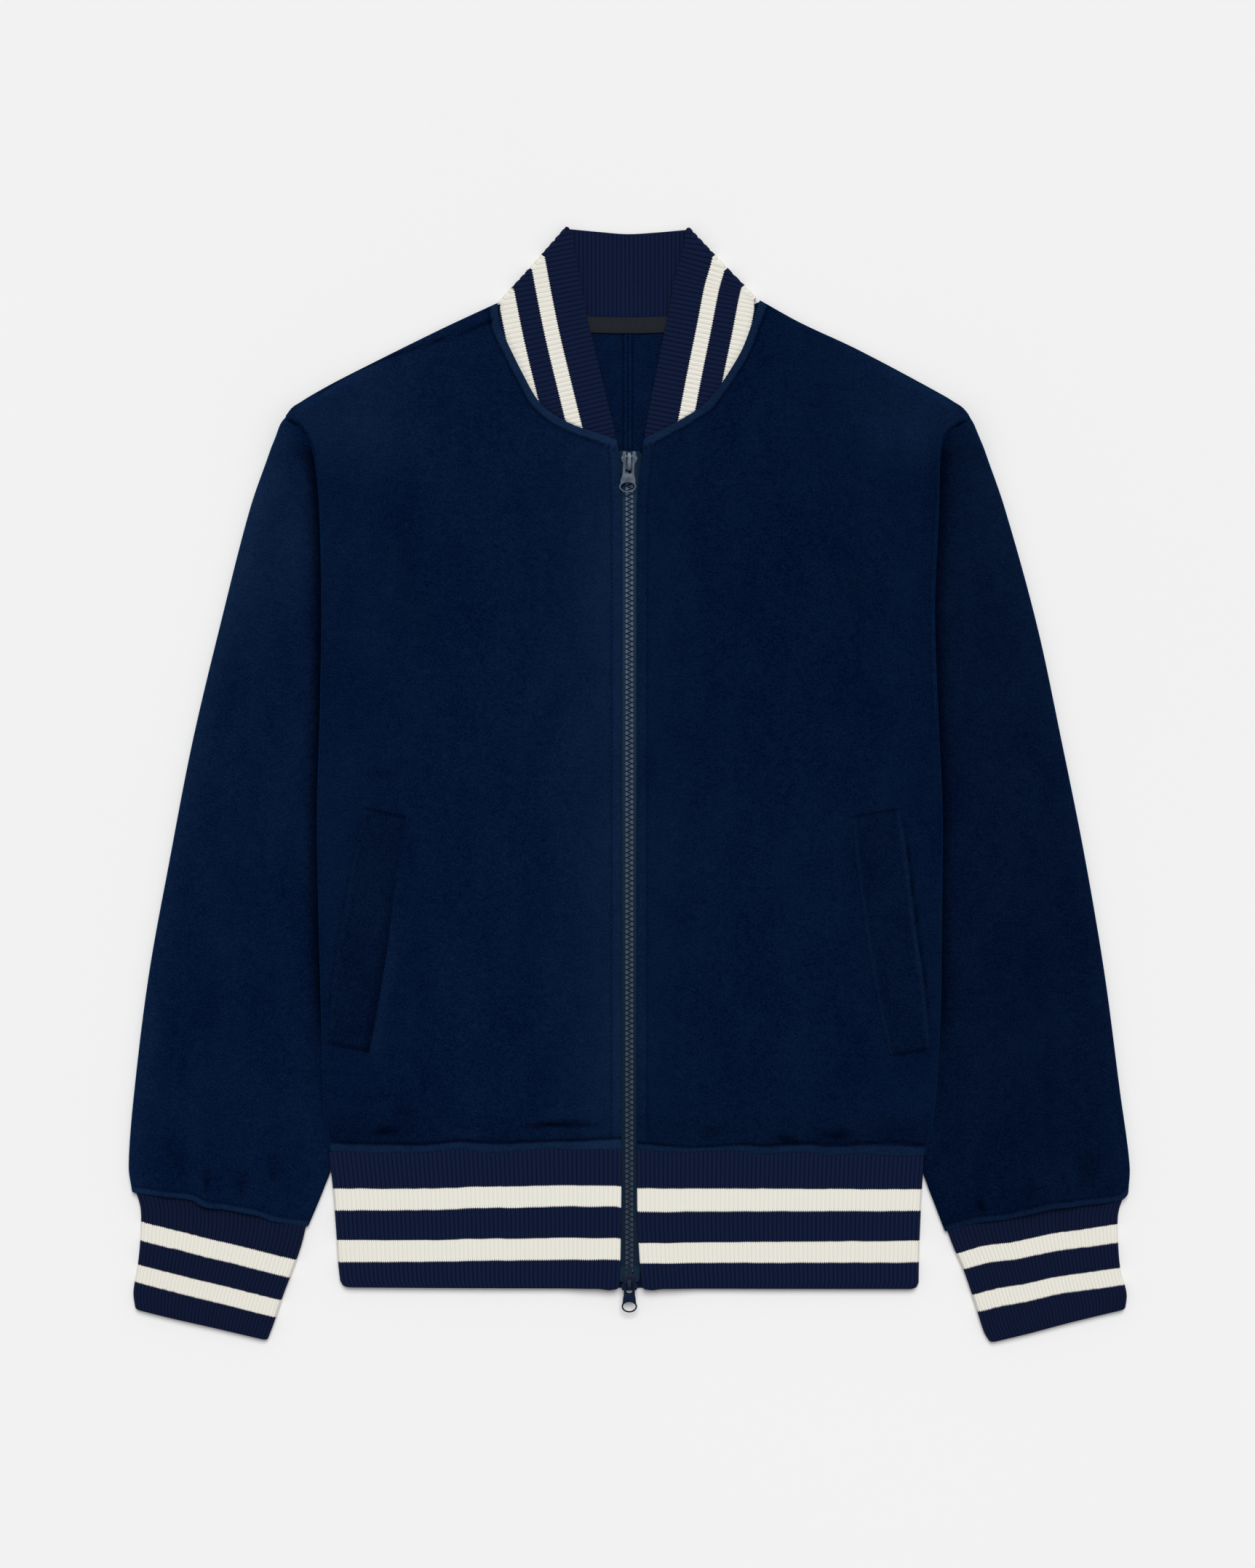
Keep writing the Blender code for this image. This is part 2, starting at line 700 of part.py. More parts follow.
def body_surface(neck, neck_steps, shoulder, middle_points, side_line, side_rows, bottom):
    """A body panel's plan: u from the neckline and the middle edge to the side, v from the shoulder down.

    side_rows are the heights at which the rows below the neckline reach the side.
    """
    middle = smooth_line([tuple(neck(0.0))] + middle_points + [tuple(bottom(0.0))])
    start = joined(reverse(neck), middle)
    surface = patch(shoulder, bottom, start, side_line)
    below = [share_at_height(side_line, y) for y in side_rows]
    rows = spaced(0.0, start.corner, neck_steps) + [v for v in below if v > start.corner + 0.01] + [1.0]
    return surface, rows


def make_front(side, finish):
    """One front, from the zip to the armhole and the side, where it turns under."""
    name = "front_left" if side < 0 else "front_right"
    neck = smooth_line(NECK_FRONT_LEFT if side < 0 else NECK_FRONT_RIGHT)
    shoulder = smooth_line(SHOULDER_LEFT if side < 0 else SHOULDER_RIGHT)
    place = 1 if side < 0 else 2
    side_points = side_curve(BODY_EDGE, side)
    zip_foot = column(ZIP_EDGE, place, -250.0)
    bottom = smooth_line([(x, seam_y(x) + SEAM_HALF) for x in spaced(zip_foot, side_points[-1][0], 8)])
    side_points[-1] = tuple(bottom(1.0))
    zip_points = [(column(ZIP_EDGE, place, y), y) for y in (217.0, 206.0, 190.0, 0.0)]
    surface, rows = body_surface(neck, FRONT_NECK_STEPS, shoulder, zip_points, smooth_line(side_points),
                                 FRONT_ROWS + HEM_ROWS, bottom)
    flat_share, fold_share = 0.8, 0.86
    outer_rows, inner_rows = [], []
    for v in rows:
        edge = surface(1.0, v)
        wide = (edge - surface(0.0, v)).length
        outer, inner = [], []
        for i, distance in enumerate(body_columns(wide - BODY_FOLD)):
            share = flat_share * distance / (wide - BODY_FOLD)
            at = surface(distance / wide, v)
            low = front_floor(at.x, at.y)
            in_band = i in (1, 2) or (v >= rows[-2] and 0 < i < LAST_COLUMN)
            rise = SEAM_BAND_RISE if in_band else 0.0
            drop = EDGE_ROUND / 2.0 if i == 0 else 0.0
            outer.append((share, (at.x, at.y, low + FLEECE + rise - drop)))
            inner.append((share, (at.x, at.y, low)))
        low, high = side_lift(edge.x, edge.y), outer[-1][1][2]
        outward = Vector((float(side), 0.0))
        turn = fold(edge, outward, low, high, BODY_FOLD, FLEECE, (flat_share, fold_share))
        outer += turn[0]
        inner += turn[1]
        for share, inward in ((fold_share, BODY_FOLD), (1.0, SIDE_TURN)):
            x = edge.x - side * inward
            y = seam_y(x) + SEAM_HALF if v == rows[-1] else edge.y
            outer.append((share, (x, y, low)))
            inner.append((share, (x, y, low + FLEECE)))
        outer_rows.append(outer)
        inner_rows.append(inner)
    return wall(name, outer_rows, inner_rows, False, finish)


def make_back(side, finish):
    """One half of the back, from the centre seam to the armhole and the side turn."""
    name = "back_left" if side < 0 else "back_right"
    place = 0 if side < 0 else 1
    centre = CENTRE_BACK + side * SEAM_GAP / 2.0
    neck_points = (NECK_BACK_LEFT if side < 0 else NECK_BACK_RIGHT)[::-1]
    neck_points = [(x, y - 2.0 * SEAM_HALF) for x, y in neck_points]
    neck_points[0] = (centre, neck_points[0][1])
    neck = smooth_line(neck_points)
    shoulder_points = [neck_points[-1]] + (SHOULDER_LEFT if side < 0 else SHOULDER_RIGHT)[1:-1]
    shoulder_points.append(BACK_TIP_LEFT if side < 0 else BACK_TIP_RIGHT)
    armhole = beside([(row[place], row[2]) for row in SLEEVE_MOUTH], -side * ARMHOLE_INSET)[1:]
    turned = side_curve(BODY_EDGE, side, top=51.0)
    edge = [(x - side * (SIDE_TURN + SIDE_TURN_GAP), y) for x, y in turned]
    between = (edge[0][0] * 0.3 + armhole[-1][0] * 0.7, BACK_UNDERARM)
    above = (edge[0][0] - side * BACK_SIDE_INSET, BACK_SIDE_TOP)
    bottom = smooth_line([(x, seam_y(x) + SEAM_HALF) for x in spaced(centre, edge[-1][0], 8)])
    edge[-1] = tuple(bottom(1.0))
    side_line = smooth_line([shoulder_points[-1]] + armhole + [between, above] + edge)
    shoulder = smooth_line(shoulder_points)
    surface, rows = body_surface(neck, BACK_NECK_STEPS, shoulder, [(centre, 0.0)], side_line,
                                 BACK_ROWS + HEM_ROWS, bottom)
    outer_rows, inner_rows = [], []
    for v in rows:
        wide = (surface(1.0, v) - surface(0.0, v)).length
        outer, inner = [], []
        for distance in body_columns(wide + SIDE_TURN + SIDE_TURN_GAP):
            share = min(distance / wide, 1.0)
            if inner and share == inner[-1][0]:
                continue
            at = surface(share, v)
            low = back_floor(at.x, at.y)
            outer.append((share, (at.x, at.y, low + FLEECE)))
            inner.append((share, (at.x, at.y, low)))
        outer_rows.append(outer)
        inner_rows.append(inner)
    return wall(name, outer_rows, inner_rows, False, finish)


def make_collar(finish):
    """The collar: one ribbed band, its wings over its back part, open at the zip."""
    sides = {}
    for side in (-1, 1):
        line = smooth_line(COLLAR_SIDE_LEFT if side < 0 else COLLAR_SIDE_RIGHT)
        run_along = (line(1.0) - line(0.0)).normalized()
        outward = Vector((side * abs(run_along.y), abs(run_along.x)))
        sides[side] = (line, outward)

    def inset_line(side):
        line, outward = sides[side]

        def at(share):
            return line(share) - outward * COLLAR_FOLD

        at.length = line.length
        return at

    wings = {}
    for side in (-1, 1):
        neck = (NECK_FRONT_LEFT if side < 0 else NECK_FRONT_RIGHT)[:-1]
        neck = beside(neck, side * SEAM_HALF * 2.5)
        inset = inset_line(side)
        seam = smooth_line(neck + [tuple(inset(0.0))])
        edge = (WING_EDGE_LEFT if side < 0 else WING_EDGE_RIGHT)[:-1]
        free = smooth_line(edge + [tuple(inset(1.0))])
        start = smooth_line([seam(0.0), free(0.0)])
        wing_length = free.length
        wings[side] = patch(seam, free, start, inset)
    left_in, right_in = inset_line(-1), inset_line(1)
    neck_back = NECK_BACK_LEFT[1:] + NECK_BACK_RIGHT[-2:0:-1]
    seam = smooth_line([tuple(left_in(0.0))] + neck_back + [tuple(right_in(0.0))])
    free = smooth_line([tuple(left_in(1.0))] + COLLAR_BACK_EDGE[1:-1] + [tuple(right_in(1.0))])
    back = patch(seam, free, left_in, right_in)

    wing_steps = 2 * round(wing_length / COLLAR_RIB_PITCH)
    back_steps = 2 * round((seam.length + free.length) / 2.0 / COLLAR_RIB_PITCH)
    wing_end, back_start, back_end, wing_start = 0.28, 0.30, 0.70, 0.72
    outer_rows, inner_rows = [], []
    rows = spaced(0.0, 1.0, 2)
    for v in rows:
        is_end = v in (rows[0], rows[-1])
        wing_under_steps = wing_steps if is_end else COLLAR_UNDER_STEPS
        back_under_steps = back_steps if is_end else COLLAR_UNDER_STEPS
        floor = WING_FLOOR + WING_STAND * v

        def wing_top(x, y, i):
            return floor + RIB_KNIT + (RIB_RISE if i % 2 else 0.0)

        def wing_under(x, y, i):
            return floor

        def back_inside(x, y, i):
            return RIB_KNIT + (RIB_RISE if i % 2 else 0.0) * BACK_RIB_SHARE

        def underside(x, y, i):
            return 0.0

        outer = run(wings[-1], v, 0.0, 1.0, (0.0, wing_end), wing_steps, wing_top)
        inner = run(wings[-1], v, 0.0, 1.0, (0.0, wing_end), wing_under_steps, wing_under)
        for side, along in ((-1, (wing_end, back_start)), (1, (wing_start, back_end))):
            line, outward = sides[side]
            high = floor + RIB_KNIT
            turn = fold(line(v), outward, 0.0, high, COLLAR_FOLD, RIB_KNIT, along)
            if side < 0:
                outer += turn[0]
                inner += turn[1]
                outer += run(back, v, 0.0, 1.0, (back_start, back_end), back_under_steps, underside)
                inner += run(back, v, 0.0, 1.0, (back_start, back_end), back_steps, back_inside)
            else:
                outer += turn[0][::-1]
                inner += turn[1][::-1]
        outer += run(wings[1], v, 1.0, 0.0, (wing_start, 1.0), wing_steps, wing_top)
        inner += run(wings[1], v, 1.0, 0.0, (wing_start, 1.0), wing_under_steps, wing_under)
        outer_rows.append(outer)
        inner_rows.append(inner)
    return wall("collar", outer_rows, inner_rows, False, finish)


def make_neck_tape(finish):
    """The tape over the back neck seam, its ends under the wings."""
    line = smooth_line(NECK_TAPE_LINE)
    half = NECK_TAPE_WIDE / 2.0
    outer_rows, inner_rows = [], []
    for offset in (-half, half):
        outer, inner = [], []
        for share in spaced(0.0, 1.0, 12):
            at = line(share)
            outer.append((share, (at.x, at.y + offset, NECK_TAPE_FLOOR + NECK_TAPE_THICK)))
            inner.append((share, (at.x, at.y + offset, NECK_TAPE_FLOOR)))
        outer_rows.append(outer)
        inner_rows.append(inner)
    return wall("neck_tape", outer_rows, inner_rows, False, finish)


def make_welt(side, finish):
    """One pocket welt, laid on its front."""
    name = "pocket_welt_left" if side < 0 else "pocket_welt_right"
    inner_line = smooth_line(WELT_LEFT_INNER if side < 0 else WELT_RIGHT_INNER)
    outer_line = smooth_line(WELT_LEFT_OUTER if side < 0 else WELT_RIGHT_OUTER)
    outer_rows, inner_rows = [], []
    for share in spaced(0.0, 1.0, 10):
        outer, inner = [], []
        for across in spaced(0.0, 1.0, 5):
            at = inner_line(share) * (1.0 - across) + outer_line(share) * across
            low = front_floor(at.x, at.y) + FLEECE + WELT_GAP
            drop = WELT_EDGE_DROP if min(across, 1.0 - across, share, 1.0 - share) == 0.0 else 0.0
            outer.append((across, (at.x, at.y, low + WELT_THICK - drop)))
            inner.append((across, (at.x, at.y, low)))
        outer_rows.append(outer)
        inner_rows.append(inner)
    return wall(name, outer_rows, inner_rows, False, finish)


def plate(name, outline, holes, low, high, finish):
    """An upright prism on the outline, with holes through it."""
    work = bmesh.new()
    edges = []
    for loop in [outline] + holes:
        corners = [work.verts.new((x * METRES, y * METRES, low * METRES)) for x, y in loop]
        for a, b in zip(corners, corners[1:] + corners[:1]):
            edges.append(work.edges.new((a, b)))
    filled = bmesh.ops.triangle_fill(work, use_beauty=True, edges=edges)
    faces = [item for item in filled["geom"] if isinstance(item, bmesh.types.BMFace)]
    raised = bmesh.ops.extrude_face_region(work, geom=faces, use_keep_orig=True)
    corners = [item for item in raised["geom"] if isinstance(item, bmesh.types.BMVert)]
    bmesh.ops.translate(work, vec=(0.0, 0.0, (high - low) * METRES), verts=corners)
    bmesh.ops.recalc_face_normals(work, faces=work.faces)
    mesh = bpy.data.meshes.new(name)
    work.to_mesh(mesh)
    work.free()
    mesh.shade_smooth()
    mesh.set_sharp_from_angle(angle=math.radians(40.0))
    mesh.materials.append(finish)
    item = bpy.data.objects.new(name, mesh)
    bpy.context.scene.collection.objects.link(item)
    return item


def fuse(base, pieces):
    """Unite pieces with the base; they stay as hidden guides."""
    for piece in pieces:
        piece.hide_render = True
        piece.display_type = "WIRE"
        modifier = base.modifiers.new("unite " + piece.name, "BOOLEAN")
        modifier.operation = "UNION"
        modifier.object = piece
    return base


def box_loop(x_low, x_high, y_low, y_high):
    """A rectangle as an outline."""
    return [(x_low, y_low), (x_high, y_low), (x_high, y_high), (x_low, y_high)]


def make_zip_line(side, tape_finish, teeth_finish):
    """One zip tape and its row of teeth."""
    word = "left" if side < 0 else "right"
    near, far = CHAIN_HALF + SEAM_GAP, TAPE_HALF
    tape = [
        (near, TAPE_TOP), (far, TAPE_TOP), (far, TAPE_FOOT + 5.0), (far - 4.1, TAPE_FOOT), (near, TAPE_FOOT),
    ]
    plate("zip_tape_" + word, [(side * x, y) for x, y in tape], [], TAPE_LOW, TAPE_HIGH, tape_finish)
    teeth = box_loop(SEAM_GAP / 2.0, CHAIN_HALF, TEETH_FOOT, TEETH_TOP)
    plate("zip_teeth_" + word, [(side * x, y) for x, y in teeth], [], CHAIN_LOW, CHAIN_HIGH, teeth_finish)


def ellipse(x, y, half_x, half_y, steps, start=0.0, turn=math.tau):
    """Points on an ellipse, or on an arc of one."""
    count = steps if turn == math.tau else steps + 1
    angles = [start + turn * i / steps for i in range(count)]
    return [(x + half_x * math.cos(angle), y + half_y * math.sin(angle)) for angle in angles]


def make_slider(name, x, axis_y, up, finish, tail):
    """A slider: two plates and a post round the teeth, with the bridge that holds the pull.

    up is 1 where the wide end is towards +Y and -1 where it is towards -Y.
    """
    half, wide_end = (TOP_PLATE, TOP_POST) if up > 0 else (BOTTOM_PLATE, BOTTOM_POST)
    half = [(x + px, axis_y + py) for px, py in half]
    outline = half + [(2.0 * x - px, py) for px, py in reversed(half)]
    body = plate(name, outline, [], PLATE_HIGH[0], PLATE_HIGH[1], finish)
    lower = plate(name + "_lower", outline, [], PLATE_LOW[0], PLATE_LOW[1], finish)
    post_y = axis_y + wide_end
    post_loop = box_loop(x - POST_HALF_X, x + POST_HALF_X, post_y - POST_HALF_Y, post_y + POST_HALF_Y)
    post = plate(name + "_post", post_loop, [], PLATE_LOW[1] - SINK, PLATE_HIGH[0] + SINK, finish)
    z = SLIDER_AXIS_Z
    foot, crest = PLATE_HIGH[1] - SINK, z + BRIDGE_CREST
    profile = [
        (BRIDGE_HEAD, foot), (BRIDGE_HEAD, crest - 1.0), (BRIDGE_HEAD - 0.8, crest),
        (-tail / 2.0, crest), (-tail, PLATE_HIGH[1] + 1.0), (-tail, foot),
    ]
    hole = box_loop(-BRIDGE_WINDOW, BRIDGE_WINDOW, z - BRIDGE_WINDOW, z + BRIDGE_WINDOW)
    bridge = plate(name + "_bridge", profile, [hole], -BRIDGE_HALF, BRIDGE_HALF, finish)
    bridge.matrix_world = upright(x, axis_y)
    return fuse(body, [lower, post, bridge])


def upright(x, y):
    """Stand a plate drawn in (y, z) up, with its thickness along X."""
    return Matrix((
        (0.0, 0.0, 1.0, x * METRES),
        (1.0, 0.0, 0.0, y * METRES),
        (0.0, 1.0, 0.0, 0.0),
        (0.0, 0.0, 0.0, 1.0),
    ))


def make_pull(name, x, axis_y, reach, slot_end, ring, droop, finish):
    """A pull tab with its cross bar on the hinge axis, lying towards -Y.

    ring is its half width, half length and rim.
    """
    half_x, half_y, rim = ring
    centre = -(reach - half_y)
    arc = ellipse(0.0, centre, half_x, half_y, 14, math.radians(150.0), math.radians(240.0))
    neck = (slot_end + centre + half_y) / 2.0
    side_left = [(-4.2, PULL_BAR), (-4.3, -2.0), (-3.5, slot_end * 0.55), (-3.3, neck)]
    outline = side_left + arc + [(-px, py) for px, py in reversed(side_left)]
    hole = ellipse(0.0, centre - 0.1, half_x - rim, half_y - rim, 14)
    slot = box_loop(-2.0, 2.0, slot_end, -PULL_BAR)
    item = plate(name, outline, [hole, slot], -PULL_THICK / 2.0, PULL_THICK / 2.0, finish)
    item.location = (x * METRES, axis_y * METRES, SLIDER_AXIS_Z * METRES)
    item.rotation_euler = (droop, 0.0, 0.0)
    return item


def build():
    """Build the jacket."""
    for item in list(bpy.data.objects):
        bpy.data.objects.remove(item)
    fleece = new_material("fleece navy", (0.005, 0.018, 0.058), 0.95)
    rib = new_material("rib knit navy", (0.008, 0.008, 0.045), 0.9)
    tape = new_material("woven tape", (0.02, 0.025, 0.032), 0.85)
    plastic = new_material("moulded plastic", (0.06, 0.085, 0.13), 0.45)
    for side in (-1, 1):
        make_sleeve(side, fleece)
        make_cuff(side, rib)
        make_front(side, fleece)
        make_back(side, fleece)
        make_welt(side, fleece)
        make_zip_line(side, tape, plastic)
    make_hem(rib)
    make_collar(rib)
    make_neck_tape(tape)
    make_slider("slider_top", 0.0, 225.2, 1, plastic, 8.6)
    make_slider("slider_bottom", 0.0, -341.6, -1, plastic, 3.6)
    make_pull("pull_top", 0.0, 225.2, 24.6, -11.0, (5.7, 4.5, 1.2), 0.0, plastic)
    make_pull("pull_bottom", 0.0, -341.6, 21.4, -7.6, (5.3, 4.4, 1.1), PULL_DROOP, plastic)


build()
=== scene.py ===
"""Looks of a fleece track jacket laid flat: cloth shells, ribs, stripes, zip, stitching and stage.

Tables and sizes are in millimetres: +X to the right as seen, +Y to the collar, +Z up.
Left and right are as seen. new_mesh turns millimetres into metres.
"""

import json
import math

import bmesh
import bpy
import numpy as np
from bpy.props import FloatProperty, FloatVectorProperty, PointerProperty
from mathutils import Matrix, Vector, noise
from mathutils.bvhtree import BVHTree

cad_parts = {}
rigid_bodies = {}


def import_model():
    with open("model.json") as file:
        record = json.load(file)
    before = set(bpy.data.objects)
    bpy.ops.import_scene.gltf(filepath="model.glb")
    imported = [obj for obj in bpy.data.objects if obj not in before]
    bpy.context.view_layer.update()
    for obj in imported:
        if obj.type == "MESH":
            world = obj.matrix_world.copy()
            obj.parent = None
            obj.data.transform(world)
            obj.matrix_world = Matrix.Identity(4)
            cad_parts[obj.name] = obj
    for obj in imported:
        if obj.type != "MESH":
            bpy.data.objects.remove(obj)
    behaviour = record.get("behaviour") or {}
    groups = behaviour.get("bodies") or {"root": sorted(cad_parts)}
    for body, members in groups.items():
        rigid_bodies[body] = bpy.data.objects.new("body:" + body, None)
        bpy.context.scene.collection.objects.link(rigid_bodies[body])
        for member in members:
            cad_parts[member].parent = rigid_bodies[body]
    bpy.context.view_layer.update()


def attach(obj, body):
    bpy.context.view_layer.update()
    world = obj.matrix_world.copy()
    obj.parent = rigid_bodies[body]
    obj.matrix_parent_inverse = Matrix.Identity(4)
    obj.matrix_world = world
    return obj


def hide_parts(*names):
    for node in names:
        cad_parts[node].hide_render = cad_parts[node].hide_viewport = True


bl_info = {
    "name": "Fleece track jacket",
    "version": (1, 0, 0),
    "blender": (4, 5, 0),
    "location": "View3D > Sidebar > Jacket",
    "description": "Builds the cloth, ribs, zip, stitching and stage of a track jacket laid flat",
    "category": "Object",
}

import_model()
MM = 0.001
BODY = "jacket"

# Cloth
SEAM_GAP = 0.3
SEAM_HALF = 0.4
SEAM_OVERLAP = -0.8
ZIP_BAND = 7.0
HEM_STITCH = 5.2
NECK_STITCH = 6.0
CUFF_STITCH = 4.2
WELT_STITCH = 1.6
ARMHOLE_ROWS = (6.0, 10.5)
THREAD_YARNS = 2500.0
RIM_ROUND = 1.3
RIM_PINCH = 0.84

# Layers of the lay
FLEECE = 2.6
RIB_KNIT = 2.2
FRONT_FLOOR = FLEECE + 1.2
SLEEVE_FLAT = 2.0 * FLEECE + SEAM_GAP
SIDE_LIFT = SLEEVE_FLAT + SEAM_GAP
LIFT_FULL = 42.0
LIFT_NONE = 76.0
SIDE_TURN = 14.0
SIDE_TURN_GAP = 1.0
HEM_FADE_TOP = -224.0
HEM_FADE_BOTTOM = -248.0
BACK_FADE_LOW = 128.0
BACK_FADE_HIGH = 166.0
ZIP_RAISE = 6.0 - FRONT_FLOOR
ZIP_RAISE_FULL = 25.0
ZIP_RAISE_NONE = 50.0
SLEEVE_CROWN = 2.6
SLEEVE_SLOPE = 0.9
CROWN_START = 10.0
TIP_RISE = 5.8
BODY_FOLD = FLEECE + 0.6
SLEEVE_FOLD = FLEECE + 0.6
CUFF_FOLD = RIB_KNIT + 0.5
HEM_FOLD = RIB_KNIT + 0.8
COLLAR_FOLD = RIB_KNIT + 0.6
CUFF_PUFF = 0.5
CUFF_TUCK = 2.4
RIB_DEPTH = 0.5
WING_FLOOR = 3.8
WING_STAND = 1.0
NECK_TAPE_Z = 3.05
SHOULDER_ROLL = 4.5
SHOULDER_FALL = 12.0
LAYER_GAP = 0.2
THIN_EDGE = 1.2
WELT_WIDE = 29.0
WELT_TOP = -16.0
WELT_FOOT = -186.0

# Ribs: their widths, and the depth of the collar's
HEM_RIB = 3.2
CUFF_RIB = 3.1
WING_RIB = 3.25
BACK_RIB = 2.9
COLLAR_DEPTH = 0.75

# Points read along a curve to find the nearest, and a distance beyond any edge
LINE_SAMPLES = 160
FAR = 99.0

# Zip
TAPE_TOP = 229.5
TAPE_FOOT = -336.0
TAPE_Z = 5.35
TOOTH_PITCH = 3.5
TOOTH_Z = (4.25, 6.6)
FIRST_TOOTH = 214.0
LAST_TOOTH = -336.5
UPPER_PLATE = (6.9, 7.95)
LOWER_PLATE = (3.0, 3.95)
PULL_HALF = 0.75
SLIDER_AXIS_Z = 10.2
TOP_SLIDER_Y = 225.2
BOTTOM_SLIDER_Y = -341.6

# Body edge, which is the armhole seam and then the side fold: y, left x, right x
BODY_EDGE = [
    (250.6, -237.4, 234.2), (247.0, -228.0, 225.0), (238.0, -221.0, 216.5), (222.0, -216.2, 213.6),
    (189.0, -213.0, 212.6), (120.0, -211.5, 209.8), (50.0, -212.5, 212.0), (-20.0, -214.5, 215.0),
    (-90.0, -213.5, 214.6), (-160.0, -211.6, 213.6), (-220.0, -210.2, 210.0), (-251.0, -208.0, 205.0),
]

# Outer fold of the sleeves: y, left x, right x
SLEEVE_OUTER = [
    (256.0, -234.6, 232.8), (253.2, -236.5, 234.3), (250.4, -238.3, 235.6), (245.4, -240.7, 237.7),
    (239.0, -243.0, 240.4), (229.5, -247.0, 244.5),
    (189.5, -261.0, 258.5), (109.5, -281.5, 280.5),
    (29.5, -300.5, 297.5), (-50.5, -316.0, 313.5), (-130.5, -330.5, 327.0), (-210.5, -340.5, 337.5),
    (-262.0, -344.4, 344.2), (-281.0, -342.0, 343.2),
]

# Inner fold of the sleeves, under the body and then free: y, left x, right x
SLEEVE_INNER = [
    (120.0, -178.0, 176.0), (40.0, -179.0, 178.5), (-60.0, -184.0, 184.5), (-140.0, -193.5, 195.0),
    (-195.0, -202.0, 203.0), (-226.0, -206.4, 205.8), (-240.0, -206.8, 204.4), (-252.0, -206.0, 202.8),
    (-264.0, -205.2, 201.6), (-276.0, -209.4, 205.2), (-288.0, -214.2, 209.8), (-303.5, -221.0, 217.2),
]

# Mouth of the sleeves, from the outer fold to the inner fold: x left, x right, y
SLEEVE_MOUTH = [
    (-233.6, 231.8, 256.0), (-228.6, 226.6, 254.6), (-223.6, 219.8, 248.2), (-218.0, 214.0, 239.4),
    (-203.0, 200.0, 206.0), (-190.0, 188.0, 164.0), (-178.0, 176.0, 120.0),
]

# Cuff seams, from the outer to the inner fold: x, y
CUFF_SEAM = {
    -1: [
        (-342.0, -280.4), (-317.0, -283.6), (-300.0, -285.8), (-292.0, -290.0), (-276.0, -292.4),
        (-255.5, -296.4), (-245.0, -300.4), (-221.0, -304.0),
    ],
    1: [
        (343.2, -281.4), (338.4, -285.6), (317.0, -288.6), (291.0, -291.8), (272.0, -296.0), (259.0, -299.0),
        (238.0, -301.6), (217.2, -307.5),
    ],
}

# Cuffs below the seam: outer x, outer y, inner x, inner y
CUFF_SIDES = {
    -1: [
        (-339.6, -281.6, -222.0, -304.2), (-336.2, -292.0, -225.4, -316.0), (-336.4, -312.0, -231.2, -333.0),
        (-338.4, -332.0, -238.4, -352.0), (-341.2, -349.0, -244.4, -370.0), (-339.8, -360.8, -249.0, -382.2),
    ],
    1: [
        (340.0, -285.6, 218.4, -308.2), (336.4, -295.0, 223.2, -318.6), (336.2, -312.0, 230.4, -335.0),
        (338.0, -334.0, 238.4, -359.0), (342.2, -350.0, 244.2, -377.0), (341.2, -360.8, 248.4, -383.8),
    ],
}

# Free edge of the cuffs, from the outer to the inner fold: x, y
CUFF_END = {
    -1: [(-339.8, -360.8), (-317.0, -366.5), (-290.5, -372.5), (-267.0, -378.0), (-249.0, -382.2)],
    1: [(341.2, -360.8), (328.5, -363.8), (302.0, -370.2), (275.0, -377.4), (248.4, -383.8)],
}

# Hem seam and the stitch line over it: x, seam y, stitch line y
HEM_SEAM = [
    (-207.0, -251.6, -245.6), (-190.0, -252.1, -246.3), (-174.0, -252.6, -246.9), (-140.0, -252.3, -247.2),
    (-118.0, -250.1, -244.9), (-104.0, -251.8, -245.6), (-89.0, -253.2, -246.2), (-70.0, -250.8, -245.4),
    (-56.0, -249.5, -244.8), (-37.0, -250.8, -244.6), (-25.0, -250.1, -243.6), (-8.0, -249.7, -242.4),
    (8.0, -250.3, -246.0), (20.0, -251.6, -247.3), (40.0, -252.4, -248.9), (60.0, -251.3, -248.2),
    (75.0, -251.6, -247.0), (92.0, -253.9, -248.3), (110.0, -252.3, -247.0), (122.0, -252.4, -246.7),
    (138.0, -254.6, -247.9), (160.0, -253.0, -246.8), (180.0, -255.0, -246.3), (203.0, -254.6, -248.0),
]

# Even line from which the hem's stripes are measured: x, y
HEM_LEVEL = [
    (-207.0, -252.0), (-150.0, -252.8), (-92.0, -251.4), (-40.0, -250.9), (20.0, -252.2),
    (203.0, -253.6),
]

# Hem band: its sides and its free edge: x, y
HEM_LEFT = [(-207.0, -251.6), (-204.0, -277.0), (-201.8, -305.0), (-200.2, -330.0), (-198.4, -345.6)]
HEM_RIGHT = [(203.0, -254.6), (201.4, -277.0), (200.0, -305.0), (199.2, -330.0), (199.0, -346.8)]
HEM_END = [(-198.4, -345.6), (-100.0, -346.2), (0.0, -346.4), (100.0, -346.6), (199.0, -346.8)]

# Stripe edges as shares of the way down a band: u across it, then cream, navy, cream and navy begin
HEM_STRIPES = [
    (0.0, 0.270, 0.440, 0.648, 0.818), (0.48, 0.248, 0.406, 0.627, 0.790),
    (0.52, 0.263, 0.444, 0.662, 0.816), (1.0, 0.259, 0.427, 0.639, 0.807),
]
CUFF_STRIPES = {
    -1: [(0.0, 0.249, 0.414, 0.610, 0.768), (1.0, 0.289, 0.456, 0.643, 0.804)],
    1: [
        (0.0, 0.231, 0.404, 0.617, 0.783), (0.45, 0.220, 0.381, 0.586, 0.741),
        (1.0, 0.196, 0.349, 0.563, 0.723),
    ],
}

